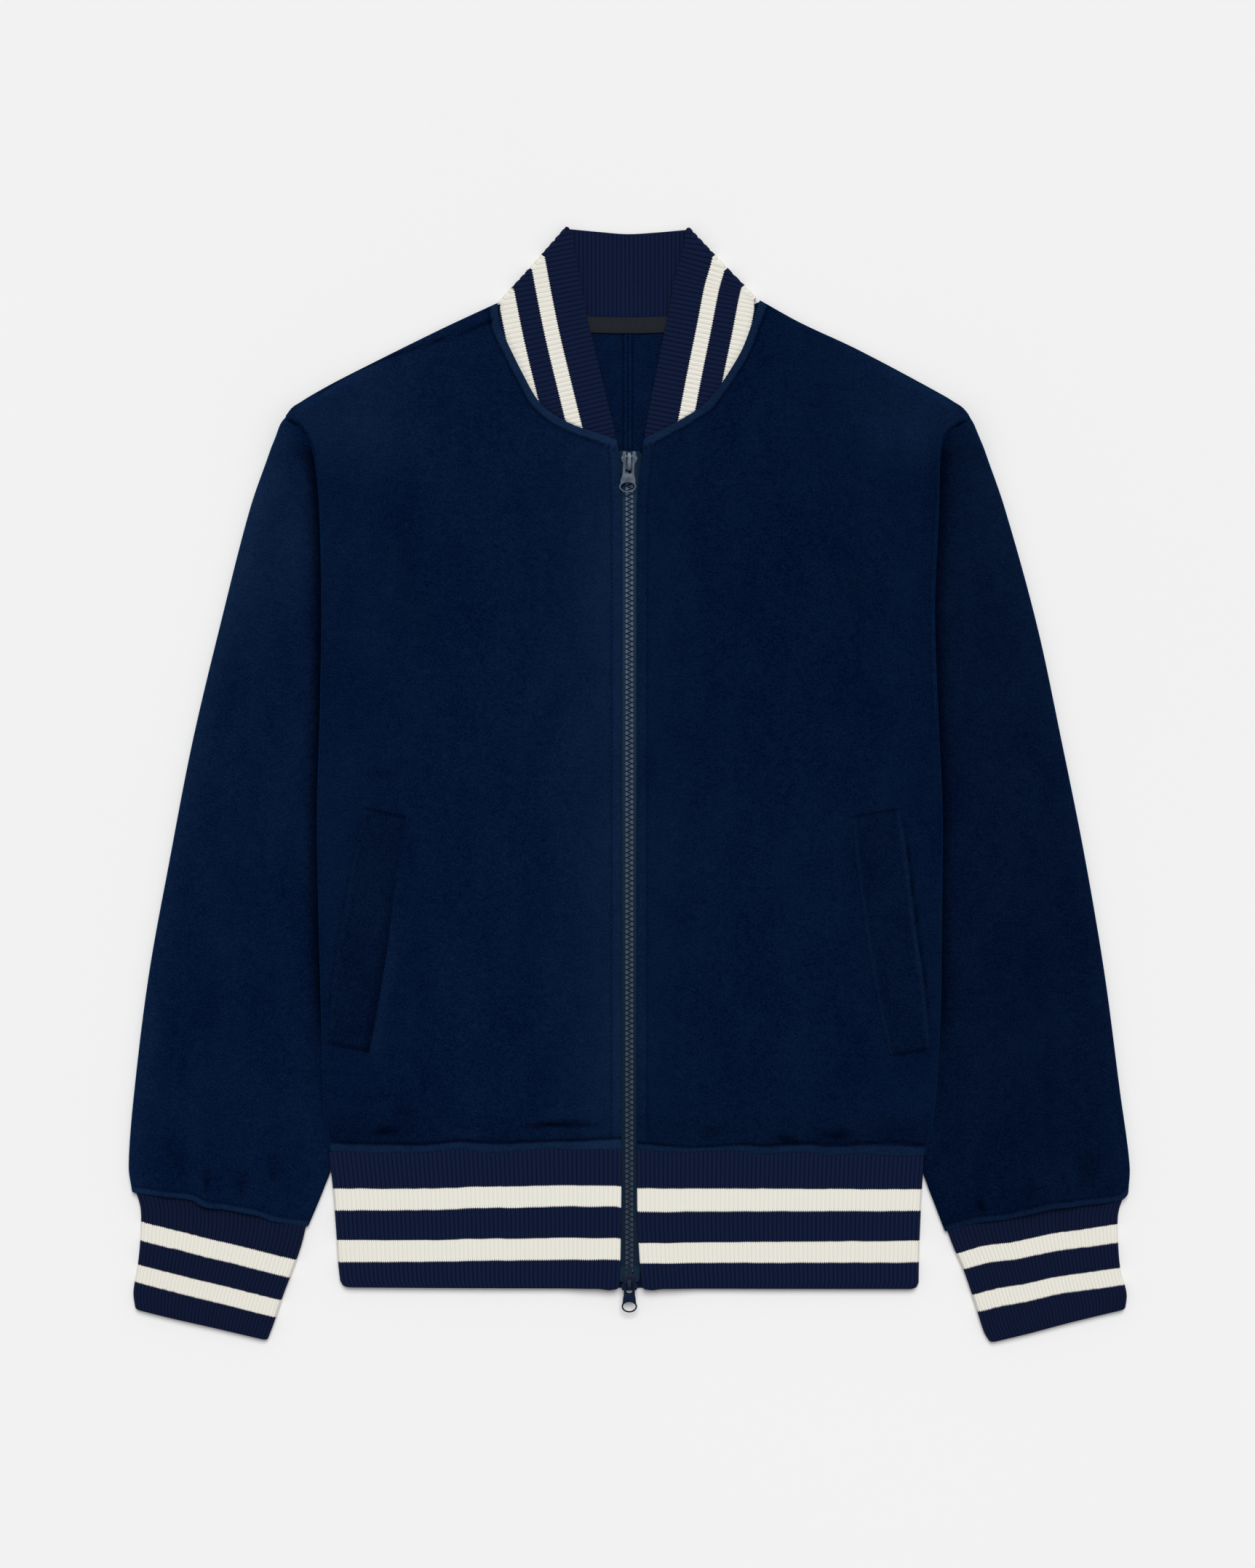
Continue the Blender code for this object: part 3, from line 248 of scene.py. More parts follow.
# Stripe edges in the cloth: hem and cuffs from the seam down, collar from its free edge down
HEM_STRIPE_EDGES = (24.5, 40.0, 60.5, 76.5)
CUFF_STRIPE_EDGES = (19.0, 32.0, 48.5, 61.0)
COLLAR_STRIPE_EDGES = (20.4, 31.3, 45.2, 57.8)

# Edges of the fronts and the hem band beside the zip: y, left x, right x
ZIP_EDGE = [
    (231.0, -7.8, 9.2), (224.0, -6.5, 8.2), (217.0, -6.1, 7.4), (206.0, -5.7, 6.3), (190.0, -5.0, 5.2),
    (-252.0, -5.2, 5.0),
    (-300.0, -5.6, 5.4), (-330.0, -6.1, 7.2), (-346.5, -7.0, 8.8),
]

# Front neckline, from the zip to the side of the neck: x, y
NECK_FRONT = {
    -1: [
        (-8.8, 237.0), (-25.2, 242.8), (-38.0, 247.2), (-53.4, 255.6), (-62.6, 264.0), (-72.4, 281.0),
        (-84.2, 304.8), (-89.2, 316.0), (-90.6, 331.6),
    ],
    1: [
        (10.0, 237.5), (23.5, 244.5), (38.0, 252.5), (54.0, 264.0), (75.5, 295.5), (84.6, 318.0),
        (89.8, 333.4),
    ],
}

# Shoulder line, from the neck to the armhole: x, y
SHOULDER = {
    -1: [
        (-90.6, 331.6), (-128.5, 314.0), (-182.0, 287.5), (-209.0, 273.5), (-229.4, 261.0),
        (-235.8, 253.4), (-237.4, 250.6),
    ],
    1: [
        (89.8, 333.4), (117.5, 318.0), (157.0, 299.5), (216.0, 268.0), (226.6, 261.0), (232.6, 254.6),
        (234.2, 250.6),
    ],
}

# The back's corner at the shoulder, which stops short of the sleeve: x, y
BACK_TIP = {-1: (-233.0, 257.2), 1: (231.2, 256.9)}

# Back neckline, from the side of the neck to the centre back: x, y
NECK_BACK = {
    -1: [(-90.6, 331.6), (-66.0, 322.0), (-34.0, 315.6), (-1.0, 313.6)],
    1: [(89.8, 333.4), (64.0, 323.0), (32.0, 315.8), (-1.0, 313.6)],
}
CENTRE_BACK = -1.0

# Collar: the free edge of the wings, from the zip to the side fold, of the back, and the folds: x, y
WING_EDGE = {
    -1: [(-10.0, 242.0), (-19.5, 280.5), (-27.5, 314.0), (-33.0, 341.0), (-38.0, 367.5)],
    1: [(10.8, 242.0), (19.5, 287.5), (26.0, 319.5), (31.5, 347.5), (37.0, 367.5)],
}
COLLAR_BACK_EDGE = [(-20.0, 380.6), (-1.0, 379.2), (20.0, 380.4)]
COLLAR_HIGH = 66.0
COLLAR_SIDE = {
    -1: [(-90.8, 331.8), (-69.0, 355.5), (-43.5, 384.5)],
    1: [(87.8, 335.2), (64.5, 359.0), (41.0, 384.0)],
}

# Neck tape: x, y of its middle line
NECK_TAPE = [(-44.0, 318.0), (-28.0, 316.6), (-2.0, 316.0), (24.0, 316.6), (40.0, 318.0)]

# Pocket welts: the side by the zip and the side with the opening, top to bottom: x, y
WELT_INNER = {
    -1: [(-153.0, -21.0), (-159.0, -58.0), (-166.0, -112.0), (-173.6, -158.0), (-178.4, -184.0)],
    1: [(152.4, -20.6), (156.0, -58.0), (163.4, -112.0), (171.8, -158.0), (178.6, -187.0)],
}
WELT_OUTER = {
    -1: [(-181.6, -14.4), (-187.4, -42.0), (-196.0, -88.0), (-203.0, -132.0), (-207.0, -178.0)],
    1: [(185.6, -14.6), (190.4, -48.0), (195.6, -92.0), (201.6, -134.0), (206.6, -182.4)],
}

# Gathers of the sleeves above the cuffs: side, x and y at the cuff, lean, length, width, height
GATHERS = [
    (-1, -318.0, -286.0, -3.0, 44.0, 7.0, 1.5), (-1, -291.0, -290.0, 2.0, 58.0, 8.0, 2.2),
    (-1, -262.0, -296.0, 5.0, 50.0, 8.0, 1.9), (-1, -240.0, -300.0, 6.0, 34.0, 6.0, 1.3),
    (1, 322.0, -288.0, 4.0, 40.0, 7.0, 1.4), (1, 300.0, -291.0, 3.0, 62.0, 9.0, 2.3),
    (1, 276.0, -296.0, -4.0, 48.0, 8.0, 1.9), (1, 246.0, -302.0, -6.0, 36.0, 7.0, 1.4),
]

# Creases: piece, x, y of one end, x, y of the other, width, height (a trough where negative)
CREASES = [
    ("front", -78.0, -236.4, -16.0, -233.0, 1.7, -1.5), ("front", -72.0, -230.5, -22.0, -227.5, 5.0, 1.1),
    ("front", -179.0, -239.4, -157.0, -237.8, 2.6, -1.1),
    ("front", -192.0, -222.0, -158.0, -212.0, 5.0, -0.7),
    ("front", -166.0, -227.0, -143.0, -224.0, 3.0, -0.6), ("front", -136.0, -240.0, -96.0, -241.0, 4.0, 0.8),
    ("front", 46.0, -239.4, 68.0, -240.4, 4.0, -0.7), ("front", 97.0, -243.0, 119.0, -246.0, 2.6, -1.0),
    ("front", 126.0, -240.4, 158.0, -240.8, 2.8, -1.1), ("front", -119.0, -237.0, -106.0, -236.0, 3.0, -0.7),
    ("front", 128.0, -232.0, 168.0, -235.0, 5.0, 0.8), ("front", -182.0, 9.0, -156.0, 6.0, 3.0, -0.6),
    ("front", -120.0, -60.0, -98.0, -190.0, 16.0, 0.8), ("front", 96.0, 40.0, 118.0, -150.0, 18.0, 0.8),
    ("front", -60.0, 180.0, -110.0, 60.0, 20.0, 0.7), ("front", 70.0, 210.0, 120.0, 110.0, 20.0, 0.7),
    ("front", -170.0, 190.0, -140.0, 90.0, 16.0, -0.6), ("front", 176.0, 200.0, 150.0, 80.0, 16.0, -0.6),
    ("sleeve", -288.0, -258.0, -291.0, -286.0, 3.0, -1.4),
    ("sleeve", -243.0, -252.0, -246.0, -277.0, 5.0, -1.0),
    ("sleeve", -262.0, -262.0, -270.0, -288.0, 5.0, -1.2),
    ("sleeve", -316.0, -240.0, -308.0, -276.0, 6.0, -0.9),
    ("sleeve", 322.0, -250.0, 306.0, -280.0, 10.0, -2.0), ("sleeve", 301.0, -258.0, 308.0, -282.0, 3.5, 1.2),
    ("sleeve", 238.0, -282.0, 246.0, -297.0, 2.6, -1.3), ("sleeve", 274.0, -266.0, 276.0, -290.0, 4.0, -1.0),
    ("sleeve", -262.0, 120.0, -284.0, -40.0, 14.0, 1.0), ("sleeve", 262.0, 90.0, 286.0, -70.0, 14.0, 1.0),
    ("sleeve", -250.0, -60.0, -262.0, -190.0, 15.0, 0.9), ("sleeve", 250.0, -80.0, 258.0, -200.0, 15.0, 0.9),
]

# Shoulder seam of the left side, which lies a little in front of the fold: x, y
SHOULDER_SEAM = [(-94.0, 319.0), (-115.0, 311.0), (-142.0, 302.0), (-169.0, 292.5), (-195.5, 280.5),
                 (-214.0, 268.0)]


def ease(share):
    """A smooth step from 0 to 1."""
    share = np.clip(share, 0.0, 1.0)
    return share * share * (3.0 - 2.0 * share)


def bell(off, width):
    """A soft bump: 1 in its middle and almost 0 two widths away."""
    return np.exp(-(off / width) ** 2)


class Line:
    """A smooth curve through given points, read by the share of its length."""

    def __init__(self, points):
        self.knots = np.array(points, float)
        steps = np.linalg.norm(np.diff(self.knots, axis=0), axis=1)
        self.marks = np.concatenate([[0.0], np.cumsum(steps)])
        self.length = float(self.marks[-1])
        number = np.arange(len(self.knots))
        low, high = np.maximum(number - 1, 0), np.minimum(number + 1, len(self.knots) - 1)
        spans = (self.marks[high] - self.marks[low])[:, None]
        self.slopes = (self.knots[high] - self.knots[low]) / spans

    def __call__(self, share):
        along = np.clip(np.asarray(share, float), 0.0, 1.0) * self.length
        i = np.clip(np.searchsorted(self.marks, along, side="right") - 1, 0, len(self.knots) - 2)
        span = (self.marks[i + 1] - self.marks[i])[..., None]
        t = (along[..., None] - self.marks[i][..., None]) / span
        lift = t * t * (3.0 - 2.0 * t)
        start = self.slopes[i] * span * (t * (1.0 - t) ** 2)
        end = self.slopes[i + 1] * span * (t * t * (t - 1.0))
        return self.knots[i] * (1.0 - lift) + self.knots[i + 1] * lift + start + end


class Joined:
    """Two curves end to end, with the corner between them kept."""

    def __init__(self, first, second):
        self.first, self.second = first, second
        self.length = first.length + second.length
        self.corner = first.length / self.length

    def __call__(self, share):
        share = np.asarray(share, float)
        before = self.first(share / self.corner)
        after = self.second((share - self.corner) / (1.0 - self.corner))
        return np.where((share <= self.corner)[..., None], before, after)


def patch(top, bottom, start, end):
    """A surface between four curves; top and bottom run from start to end."""
    def at(u, v):
        u, v = np.broadcast_arrays(u, v)
        a, b = u[..., None], v[..., None]
        across = top(u) * (1.0 - b) + bottom(u) * b
        down = start(v) * (1.0 - a) + end(v) * a
        upper = top(0.0) * (1.0 - a) + top(1.0) * a
        lower = bottom(0.0) * (1.0 - a) + bottom(1.0) * a
        return across + down - upper * (1.0 - b) - lower * b

    return at


def plan_width(plan, v):
    """The end edge of a plan at each v, and how wide the plan is there."""
    edge = plan(np.ones_like(v), v)
    return edge, np.linalg.norm(edge - plan(np.zeros_like(v), v), axis=-1)


def column(table, place, y):
    """Read one x column of a table whose first column is y, falling."""
    rows = np.array(table)[::-1]
    return np.interp(y, rows[:, 0], rows[:, place])


def side_points(table, side, top=1000.0):
    """The left or right outline of a table of y, left x, right x, from the height top down."""
    return [(row[1 if side < 0 else 2], row[0]) for row in table if row[0] <= top]


def beside(points, distance):
    """A line of points moved sideways, to its left where distance is positive."""
    points = np.array(points, float)
    along = np.gradient(points, axis=0)
    along /= np.linalg.norm(along, axis=1)[:, None]
    return points + np.stack([-along[:, 1], along[:, 0]], axis=1) * distance


def from_ends(share, length):
    """Distance from the nearer end of a length, at a share of it."""
    return np.minimum(share, 1.0 - share) * length


def marks(length, step, head, tail):
    """Places along a length: close ones at its head and tail, and even steps between."""
    first, last = head[-1], length - tail[-1]
    count = max(int(round((last - first) / step)), 1)
    even = np.linspace(first, last, count + 1)[1:]
    return np.concatenate([head, even, length - np.array(tail[::-1][1:])])


RIM_MARKS = (0.0, 0.2, 0.6, 1.3)
BAND_MARKS = (0.0, 0.2, 0.6, 1.3, 2.6, 4.0, 4.8, 5.3, 5.8, 6.3, 6.9, 8.0, 9.5)


def across_marks(wide, end, tail, count):
    """Places across a panel: close ones at the zip or the centre, even ones, and a tail before its end."""
    head, tail = np.array(BAND_MARKS), np.array(tail)
    even = head[-1] + (end - tail[0] - head[-1]) * np.linspace(0.0, 1.0, count)[None, 1:-1]
    return np.concatenate([head + 0.0 * wide, even, end - tail], axis=1)


def ripple(x, y, period, seed):
    """Smooth unevenness between -1 and 1."""
    spots = zip(np.ravel(x) / period, np.ravel(y) / period)
    return np.reshape([noise.noise(Vector((a, b, seed))) for a, b in spots], np.shape(x))


def seam_y(x):
    """Height of the hem seam at x."""
    seam = np.array(HEM_SEAM)
    return np.interp(x, seam[:, 0], seam[:, 1]) + 0.5 * ripple(x, 0.0 * x, 11.0, 61.0)


def hem_stitch_y(x):
    """Height of the stitch line above the hem seam at x."""
    seam = np.array(HEM_SEAM)
    return np.interp(x, seam[:, 0], seam[:, 2]) + 0.5 * ripple(x, 0.0 * x, 11.0, 67.0)


def hem_line(start, end, above):
    """The hem seam from one x to another, moved up."""
    x = np.linspace(start, end, 80)
    return Line(np.stack([x, seam_y(x) + above], axis=1))


def nearest_on(x, y, line, past_ends=False):
    """Distance in plan from each point to a curve, and how far along the curve it lies."""
    spots = line(np.linspace(0.0, 1.0, LINE_SAMPLES))
    flat = np.stack([np.ravel(x), np.ravel(y)], axis=1)
    nearest, along = np.full(len(flat), 1e9), np.zeros(len(flat))
    done = 0.0
    for i, (a, b) in enumerate(zip(spots, spots[1:])):
        way = b - a
        low = -1e9 if past_ends and i == 0 else 0.0
        high = 1e9 if past_ends and i == LINE_SAMPLES - 2 else 1.0
        t = np.clip(((flat - a) @ way) / (way @ way), low, high)
        gap = np.linalg.norm(flat - a - t[:, None] * way, axis=1)
        closer = gap < nearest
        length = np.linalg.norm(way)
        nearest = np.where(closer, gap, nearest)
        along = np.where(closer, done + t * length, along)
        done += length
    return nearest.reshape(np.shape(x)), along.reshape(np.shape(x))


def distance_to(x, y, line):
    """Distance in plan from each point to a curve."""
    return nearest_on(x, y, line)[0]


def side_lift(x, y):
    """How far the body rises to lie over the sleeves at its sides."""
    edge = np.where(x < 0.0, -column(BODY_EDGE, 1, y), column(BODY_EDGE, 2, y))
    reach = 1.0 - ease((edge - np.abs(x) - LIFT_FULL) / (LIFT_NONE - LIFT_FULL))
    fade = 1.0 - ease((HEM_FADE_TOP - y) / (HEM_FADE_TOP - HEM_FADE_BOTTOM))
    return SIDE_LIFT * reach * fade


def zip_raise(x):
    """How far the fronts and the hem band rise to lie over the zip tape."""
    return ZIP_RAISE * (1.0 - ease((np.abs(x) - ZIP_RAISE_FULL) / (ZIP_RAISE_NONE - ZIP_RAISE_FULL)))


def creases(piece, x, y, tone=False):
    """Height of the soft creases of one kind of piece, or how strongly they mark its colour with painted
    shade in troughs and painted light on ridges.
    """
    height = np.zeros(np.shape(x))
    for kind, x0, y0, x1, y1, width, rise in CREASES:
        if kind != piece:
            continue
        if tone:
            rise *= min(2.2 / width, 1.0)
        way = np.array([x1 - x0, y1 - y0])
        along = ((x - x0) * way[0] + (y - y0) * way[1]) / (way @ way)
        bend = 0.12 * np.sin(3.0 * along + x0) * np.linalg.norm(way) * along * (1.0 - along)
        off = ((x - x0) * -way[1] + (y - y0) * way[0]) / np.linalg.norm(way) + bend
        taper = ease(1.0 - np.abs(2.0 * along - 1.0) * 0.85)
        height += rise * np.where(np.abs(along - 0.5) < 0.6, taper, 0.0) * bell(off, width)
    return height


def nap(x, y, seed):
    """Uneven loft of the fleece."""
    coarse, middle, fine = ripple(x, y, 55.0, seed), ripple(x, y, 17.0, seed + 3.7), ripple(x, y, 6.0, seed)
    return 0.35 * coarse + 0.16 * middle + 0.1 * fine


def band(distance, wide, rise=0.5, groove=0.7):
    """Height of a turned seam band and of the topstitched groove at its inner side."""
    flat = rise * (1.0 - ease((distance - wide + 0.8) / 2.2))
    return flat - groove * bell(distance - wide, 0.9)


def rim_drop(distance, radius=RIM_ROUND):
    """Share of rounding at a distance from a cloth's edge."""
    return 1.0 - np.sqrt(1.0 - np.clip(1.0 - distance / radius, 0.0, 1.0) ** 2)


def rounded(outer, inner, distance):
    """Pinch the two sides of a wall together at its edge."""
    middle = (outer + inner) / 2.0
    keep = (1.0 - RIM_PINCH * rim_drop(distance))[..., None]
    return middle + (outer - middle) * keep, middle + (inner - middle) * keep


def quads(number):
    """Faces between the rows and columns of a grid of point numbers."""
    corners = [number[:-1, :-1], number[:-1, 1:], number[1:, 1:], number[1:, :-1]]
    return np.stack(corners, axis=-1).reshape(-1, 4)


def new_mesh(name, points, faces, finish, cloth=None):
    """A smooth mesh of points in millimetres; cloth is an attribute that its finish reads."""
    mesh = bpy.data.meshes.new(name)
    mesh.from_pydata((np.asarray(points) * MM).tolist(), [], [tuple(face) for face in faces])
    work = bmesh.new()
    work.from_mesh(mesh)
    bmesh.ops.recalc_face_normals(work, faces=work.faces)
    work.to_mesh(mesh)
    work.free()
    mesh.shade_smooth()
    if cloth is not None:
        kept = mesh.attributes.new("cloth", "FLOAT_VECTOR", "POINT")
        kept.data.foreach_set("vector", np.asarray(cloth, np.float32).ravel())
    mesh.materials.append(finish)
    item = bpy.data.objects.new(name, mesh)
    bpy.context.scene.collection.objects.link(item)
    return item


def wall(name, outer, inner, ring, finish, cloth_outer, cloth_inner=None):
    """A closed cloth wall between two grids of points of one size, rows by columns."""
    cloth_inner = cloth_outer if cloth_inner is None else cloth_inner
    rows, columns = outer.shape[:2]
    number = np.arange(rows * columns).reshape(rows, columns)
    if ring:
        number = np.concatenate([number, number[:, :1]], axis=1)
    back = number + rows * columns
    faces = [quads(number), quads(back)]
    faces += [quads(np.stack([number[end], back[end]])) for end in (0, -1)]
    if not ring:
        faces += [quads(np.stack([number[:, end], back[:, end]])) for end in (0, -1)]
    points = np.concatenate([outer.reshape(-1, 3), inner.reshape(-1, 3)])
    cloth = np.concatenate([cloth_outer.reshape(-1, 3), cloth_inner.reshape(-1, 3)])
    return new_mesh(name + "_cloth", points, np.concatenate(faces).tolist(), finish, cloth)


def tube_plan(side, top, bottom, outer, inner):
    """The plan of a sleeve or cuff, from lines of points that run from its outer to its inner fold."""
    if side < 0:
        return patch(Line(top), Line(bottom), Line(outer), Line(inner))
    return patch(Line(top[::-1]), Line(bottom[::-1]), Line(inner), Line(outer))


def corner_inset(gap, radius):
    """How far a rounded corner lies in from a straight side, at a distance from the end."""
    left = np.clip(radius - gap, 0.0, radius)
    return radius - np.sqrt(radius * radius - left * left)


def with_corners(plan, length, radius):
    """A plan whose lower corners are rounded."""
    def at(u, v):
        u, v = np.broadcast_arrays(u, v)
        inset = corner_inset((1.0 - v) * length, radius) / plan_width(plan, v)[1]
        return plan(inset + u * (1.0 - 2.0 * inset), v)

    return at


def at_height(plan, z):
    """Points of a plan, rows by columns by 2, at their heights."""
    return np.concatenate([plan, np.broadcast_to(z, plan.shape[:2])[..., None]], axis=-1)


def rib_crest(phase):
    """Height of a rib, from 0 in its furrows to 1 on its crest."""
    return 1.0 - np.abs(2.0 * (phase % 1.0) - 1.0) ** 4


def rib_marks(count, samples=(0.0, 0.1, 0.26, 0.5, 0.74, 0.9)):
    """Places across a stretch of ribs from 0 to 1, their rib number and the height of the rib there."""
    phase = (np.arange(count)[:, None] + np.array(samples)[None, :]).ravel()
    phase = np.append(phase, float(count))
    return phase / count, phase, rib_crest(phase)


def plain_marks(count):
    """Even places across a plain stretch, in the form that rib_marks gives."""
    share = np.linspace(0.0, 1.0, count + 1)
    return share, share, np.ones(count + 1)


def fold_run(edge, outward, high, reach, thick, run, depth, low=0.0):
    """Outer and inner points of a fold, from the upper layer round to the lower, rows by columns."""
    turn = math.pi * run[0][None, :, None]
    sink = depth * (1.0 - np.atleast_2d(run[2]))[..., None]
    high = high[:, None, None]
    low = np.broadcast_to(low, high.shape[:1])[:, None, None] if np.ndim(low) else low
    middle, half = (low + high) / 2.0, (high - low) / 2.0
    centre = (edge - outward * reach)[:, None, :]
    way = outward[:, None, :]

    def around(inward):
        flat = centre + way * ((reach - inward) * np.sin(turn))
        return np.concatenate([flat, middle + (half - inward) * np.cos(turn)], axis=-1)

    return around(sink), around(thick)


def rib_runs(length, rib):
    """Marks of half a band's top, of a fold and of its floor side, for ribs of one width."""
    ribs = int(round(length / 2.0 / rib))
    return rib_marks(ribs), rib_marks(3), rib_marks(2 * ribs, (0.0, 0.16, 0.5, 0.84))


def tube(plan, v, thick, reach, top, runs, depth=0.0, split=None):
    """Outer and inner points of a flattened tube, and u and rib number of each column.

    It goes from the middle of the top, or the split there, over the left fold,
    along the floor and over the right fold back. runs are the marks of half the
    top, of a fold and of the floor.
    """
    half_run, fold_marks, floor_run = runs
    v = v[:, None]
    left, right = plan(np.zeros_like(v), v)[:, 0], plan(np.ones_like(v), v)[:, 0]
    inset = (reach / np.linalg.norm(right - left, axis=1))[:, None]
    ways = []
    for edge, u in ((left, inset), (right, 1.0 - inset)):
        way = edge - plan(u, v)[:, 0]
        ways.append(way / np.linalg.norm(way, axis=1)[:, None])
    gap_left, gap_right = split(v, left, right) if split else (0.5, 0.5)

    def upper(start, end, run):
        u = start + (end - start) * run[0][None, :]
        at = plan(u, v)
        crown = top(at[..., 0], at[..., 1])
        sink = depth * (1.0 - run[2])[None, :]
        floor = np.maximum(crown - thick, thick + SEAM_GAP)
        return at_height(at, crown - sink), at_height(at, floor), u, crown

    def lower(run):
        u = inset + (1.0 - 2.0 * inset) * run[0][None, :]
        at = plan(u, v)
        return at_height(at, depth * (1.0 - run[2])[None, :]), at_height(at, thick), u

    def folded(edge, way, high):
        run = tuple(values[1:-1] for values in fold_marks)
        return fold_run(edge, way, high, reach, thick, run, depth)

    first = upper(gap_left, inset, half_run)
    last = upper(1.0 - inset, gap_right, half_run)
    floor = lower(floor_run)
    near = folded(left, ways[0], first[3][:, -1])
    far = folded(right, ways[1], last[3][:, 0])
    keep = slice(None) if split else slice(None, -1)
    outer = np.concatenate([first[0], near[0], floor[0], far[0][:, ::-1], last[0][:, keep]], axis=1)
    inner = np.concatenate([first[1], near[1], floor[1], far[1][:, ::-1], last[1][:, keep]], axis=1)
    folds = len(fold_marks[0]) - 2
    rows = len(v)
    u = np.concatenate([first[2], np.zeros((rows, folds)), floor[2], np.ones((rows, folds)),
                        np.broadcast_to(last[2], (rows, last[2].shape[1]))[:, keep]], axis=1)
    numbers = [half_run[1], fold_marks[1][1:-1], floor_run[1], fold_marks[1][1:-1][::-1], half_run[1][keep]]
    return outer, inner, u, np.broadcast_to(np.concatenate(numbers), u.shape)


def stripe_place(table, edges, u, v, length, above=0.0):
    """How far down the striped cloth each point is, from the shares at which the stripes change.

    above is how far the band's top edge lies over the even line that the shares are measured from.
    """
    table = np.array(table)
    v = 1.0 - (1.0 - v) * (1.0 + above / length)
    known = [np.zeros(u.shape)] + [np.interp(u, table[:, 0], table[:, k]) for k in range(1, 5)]
    known.append(np.ones(u.shape))
    reached = (0.0,) + tuple(edges) + (length,)
    down = np.zeros(u.shape)
    for k in range(5):
        share = np.clip((v - known[k]) / (known[k + 1] - known[k]), 0.0, 1.0)
        down += share * (reached[k + 1] - reached[k])
    return down + 0.3 * ripple(u * 400.0, v * length, 13.0, 71.0)


def cloth_values(across, down, mask):
    """The three values that a finish reads at each point."""
    return np.stack(np.broadcast_arrays(across, down, mask), axis=-1)


def lay_height(x, y):
    """Underside of the fronts: over the back, the zip tape and the sleeves."""
    return FRONT_FLOOR + zip_raise(x) + side_lift(x, y)


def gathers(side, x, y):
    """Height of the soft gathers above a cuff."""
    height = np.zeros(np.shape(x))
    for row_side, foot_x, foot_y, lean, length, width, rise in GATHERS:
        if row_side == side:
            along = (y - foot_y) / length
            here = rise * ease(1.0 - np.maximum(along, 0.0)) * bell(x - foot_x - lean * along, width)
            height += np.where((along > -0.4) & (along < 1.0), here, 0.0)
    return height


def sleeve_top(side, x, y):
    """Top of a sleeve: pressed flat under the body, softly crowned outside it."""
    place = 1 if side < 0 else 2
    body = np.abs(column(BODY_EDGE, place, y))
    cover = np.where(y > BODY_EDGE[-1][0], body, np.abs(column(SLEEVE_INNER, place, y)))
    outer = np.abs(column(SLEEVE_OUTER, place, y))
    start = np.minimum(CROWN_START, (outer - cover) * 0.3)
    share = (np.abs(x) - cover - start) / np.maximum(outer - cover - start, CROWN_START)
    share = np.clip(share, 0.0, 1.0)
    crown = SLEEVE_SLOPE * share + SLEEVE_CROWN * np.sin(math.pi * share)
    loose = np.minimum(share * 8.0, 1.0)
    soft = nap(x, y, 2.0 + side) + creases("sleeve", x, y) + gathers(side, x, y)
    tip = TIP_RISE * ease((y - 214.0) / 28.0) * ease((np.abs(x) - body + 1.8) / 2.4)
    return SLEEVE_FLAT + crown + loose * soft + tip


def node(tree, kind, values=(), **settings):
    """Add a shader node; values are its sockets with a number, a colour or the socket that feeds them."""
    item = tree.nodes.new("ShaderNode" + kind)
    for name, value in settings.items():
        setattr(item, name, value)
    for place, value in dict(values).items():
        if isinstance(value, bpy.types.NodeSocket):
            tree.links.new(value, item.inputs[place])
        else:
            item.inputs[place].default_value = value
    return item


def calc(tree, operation, *values, clamp=False):
    """A Math node's result."""
    return node(tree, "Math", dict(enumerate(values)), operation=operation, use_clamp=clamp).outputs[0]


def mixed(tree, share, first, second):
    """A colour between two colours."""
    values = {0: share, 6: first, 7: second}
    return node(tree, "Mix", values, data_type="RGBA", blend_type="MIX").outputs[2]


def scaled(tree, colour, share):
    """A colour made lighter or darker."""
    return node(tree, "VectorMath", {0: colour, 1: share}, operation="MULTIPLY").outputs[0]


def grain(tree, vector, scale, detail=2.0, roughness=0.5):
    """Noise from 0 to 1; scale is in lumps a metre."""
    values = {"Vector": vector, "Scale": scale, "Detail": detail, "Roughness": roughness}
    return node(tree, "TexNoise", values).outputs[0]


def stretched(tree, value, low, high, start=0.0, end=1.0):
    """A value spread from one range to another, and kept inside it."""
    values = {"Value": value, "From Min": low, "From Max": high, "To Min": start, "To Max": end}
    return node(tree, "MapRange", values).outputs[0]


def new_group(name, inputs, outputs):
    """An empty node group with named sockets of (name, kind); gives it, its inputs and its end."""
    group = bpy.data.node_groups.new(name, "ShaderNodeTree")
    for title, kind in inputs:
        group.interface.new_socket(title, in_out="INPUT", socket_type="NodeSocket" + kind)
    for title, kind in outputs:
        group.interface.new_socket(title, in_out="OUTPUT", socket_type="NodeSocket" + kind)
    start = group.nodes.new("NodeGroupInput")
    end = group.nodes.new("NodeGroupOutput")
    return group, start.outputs, end.inputs


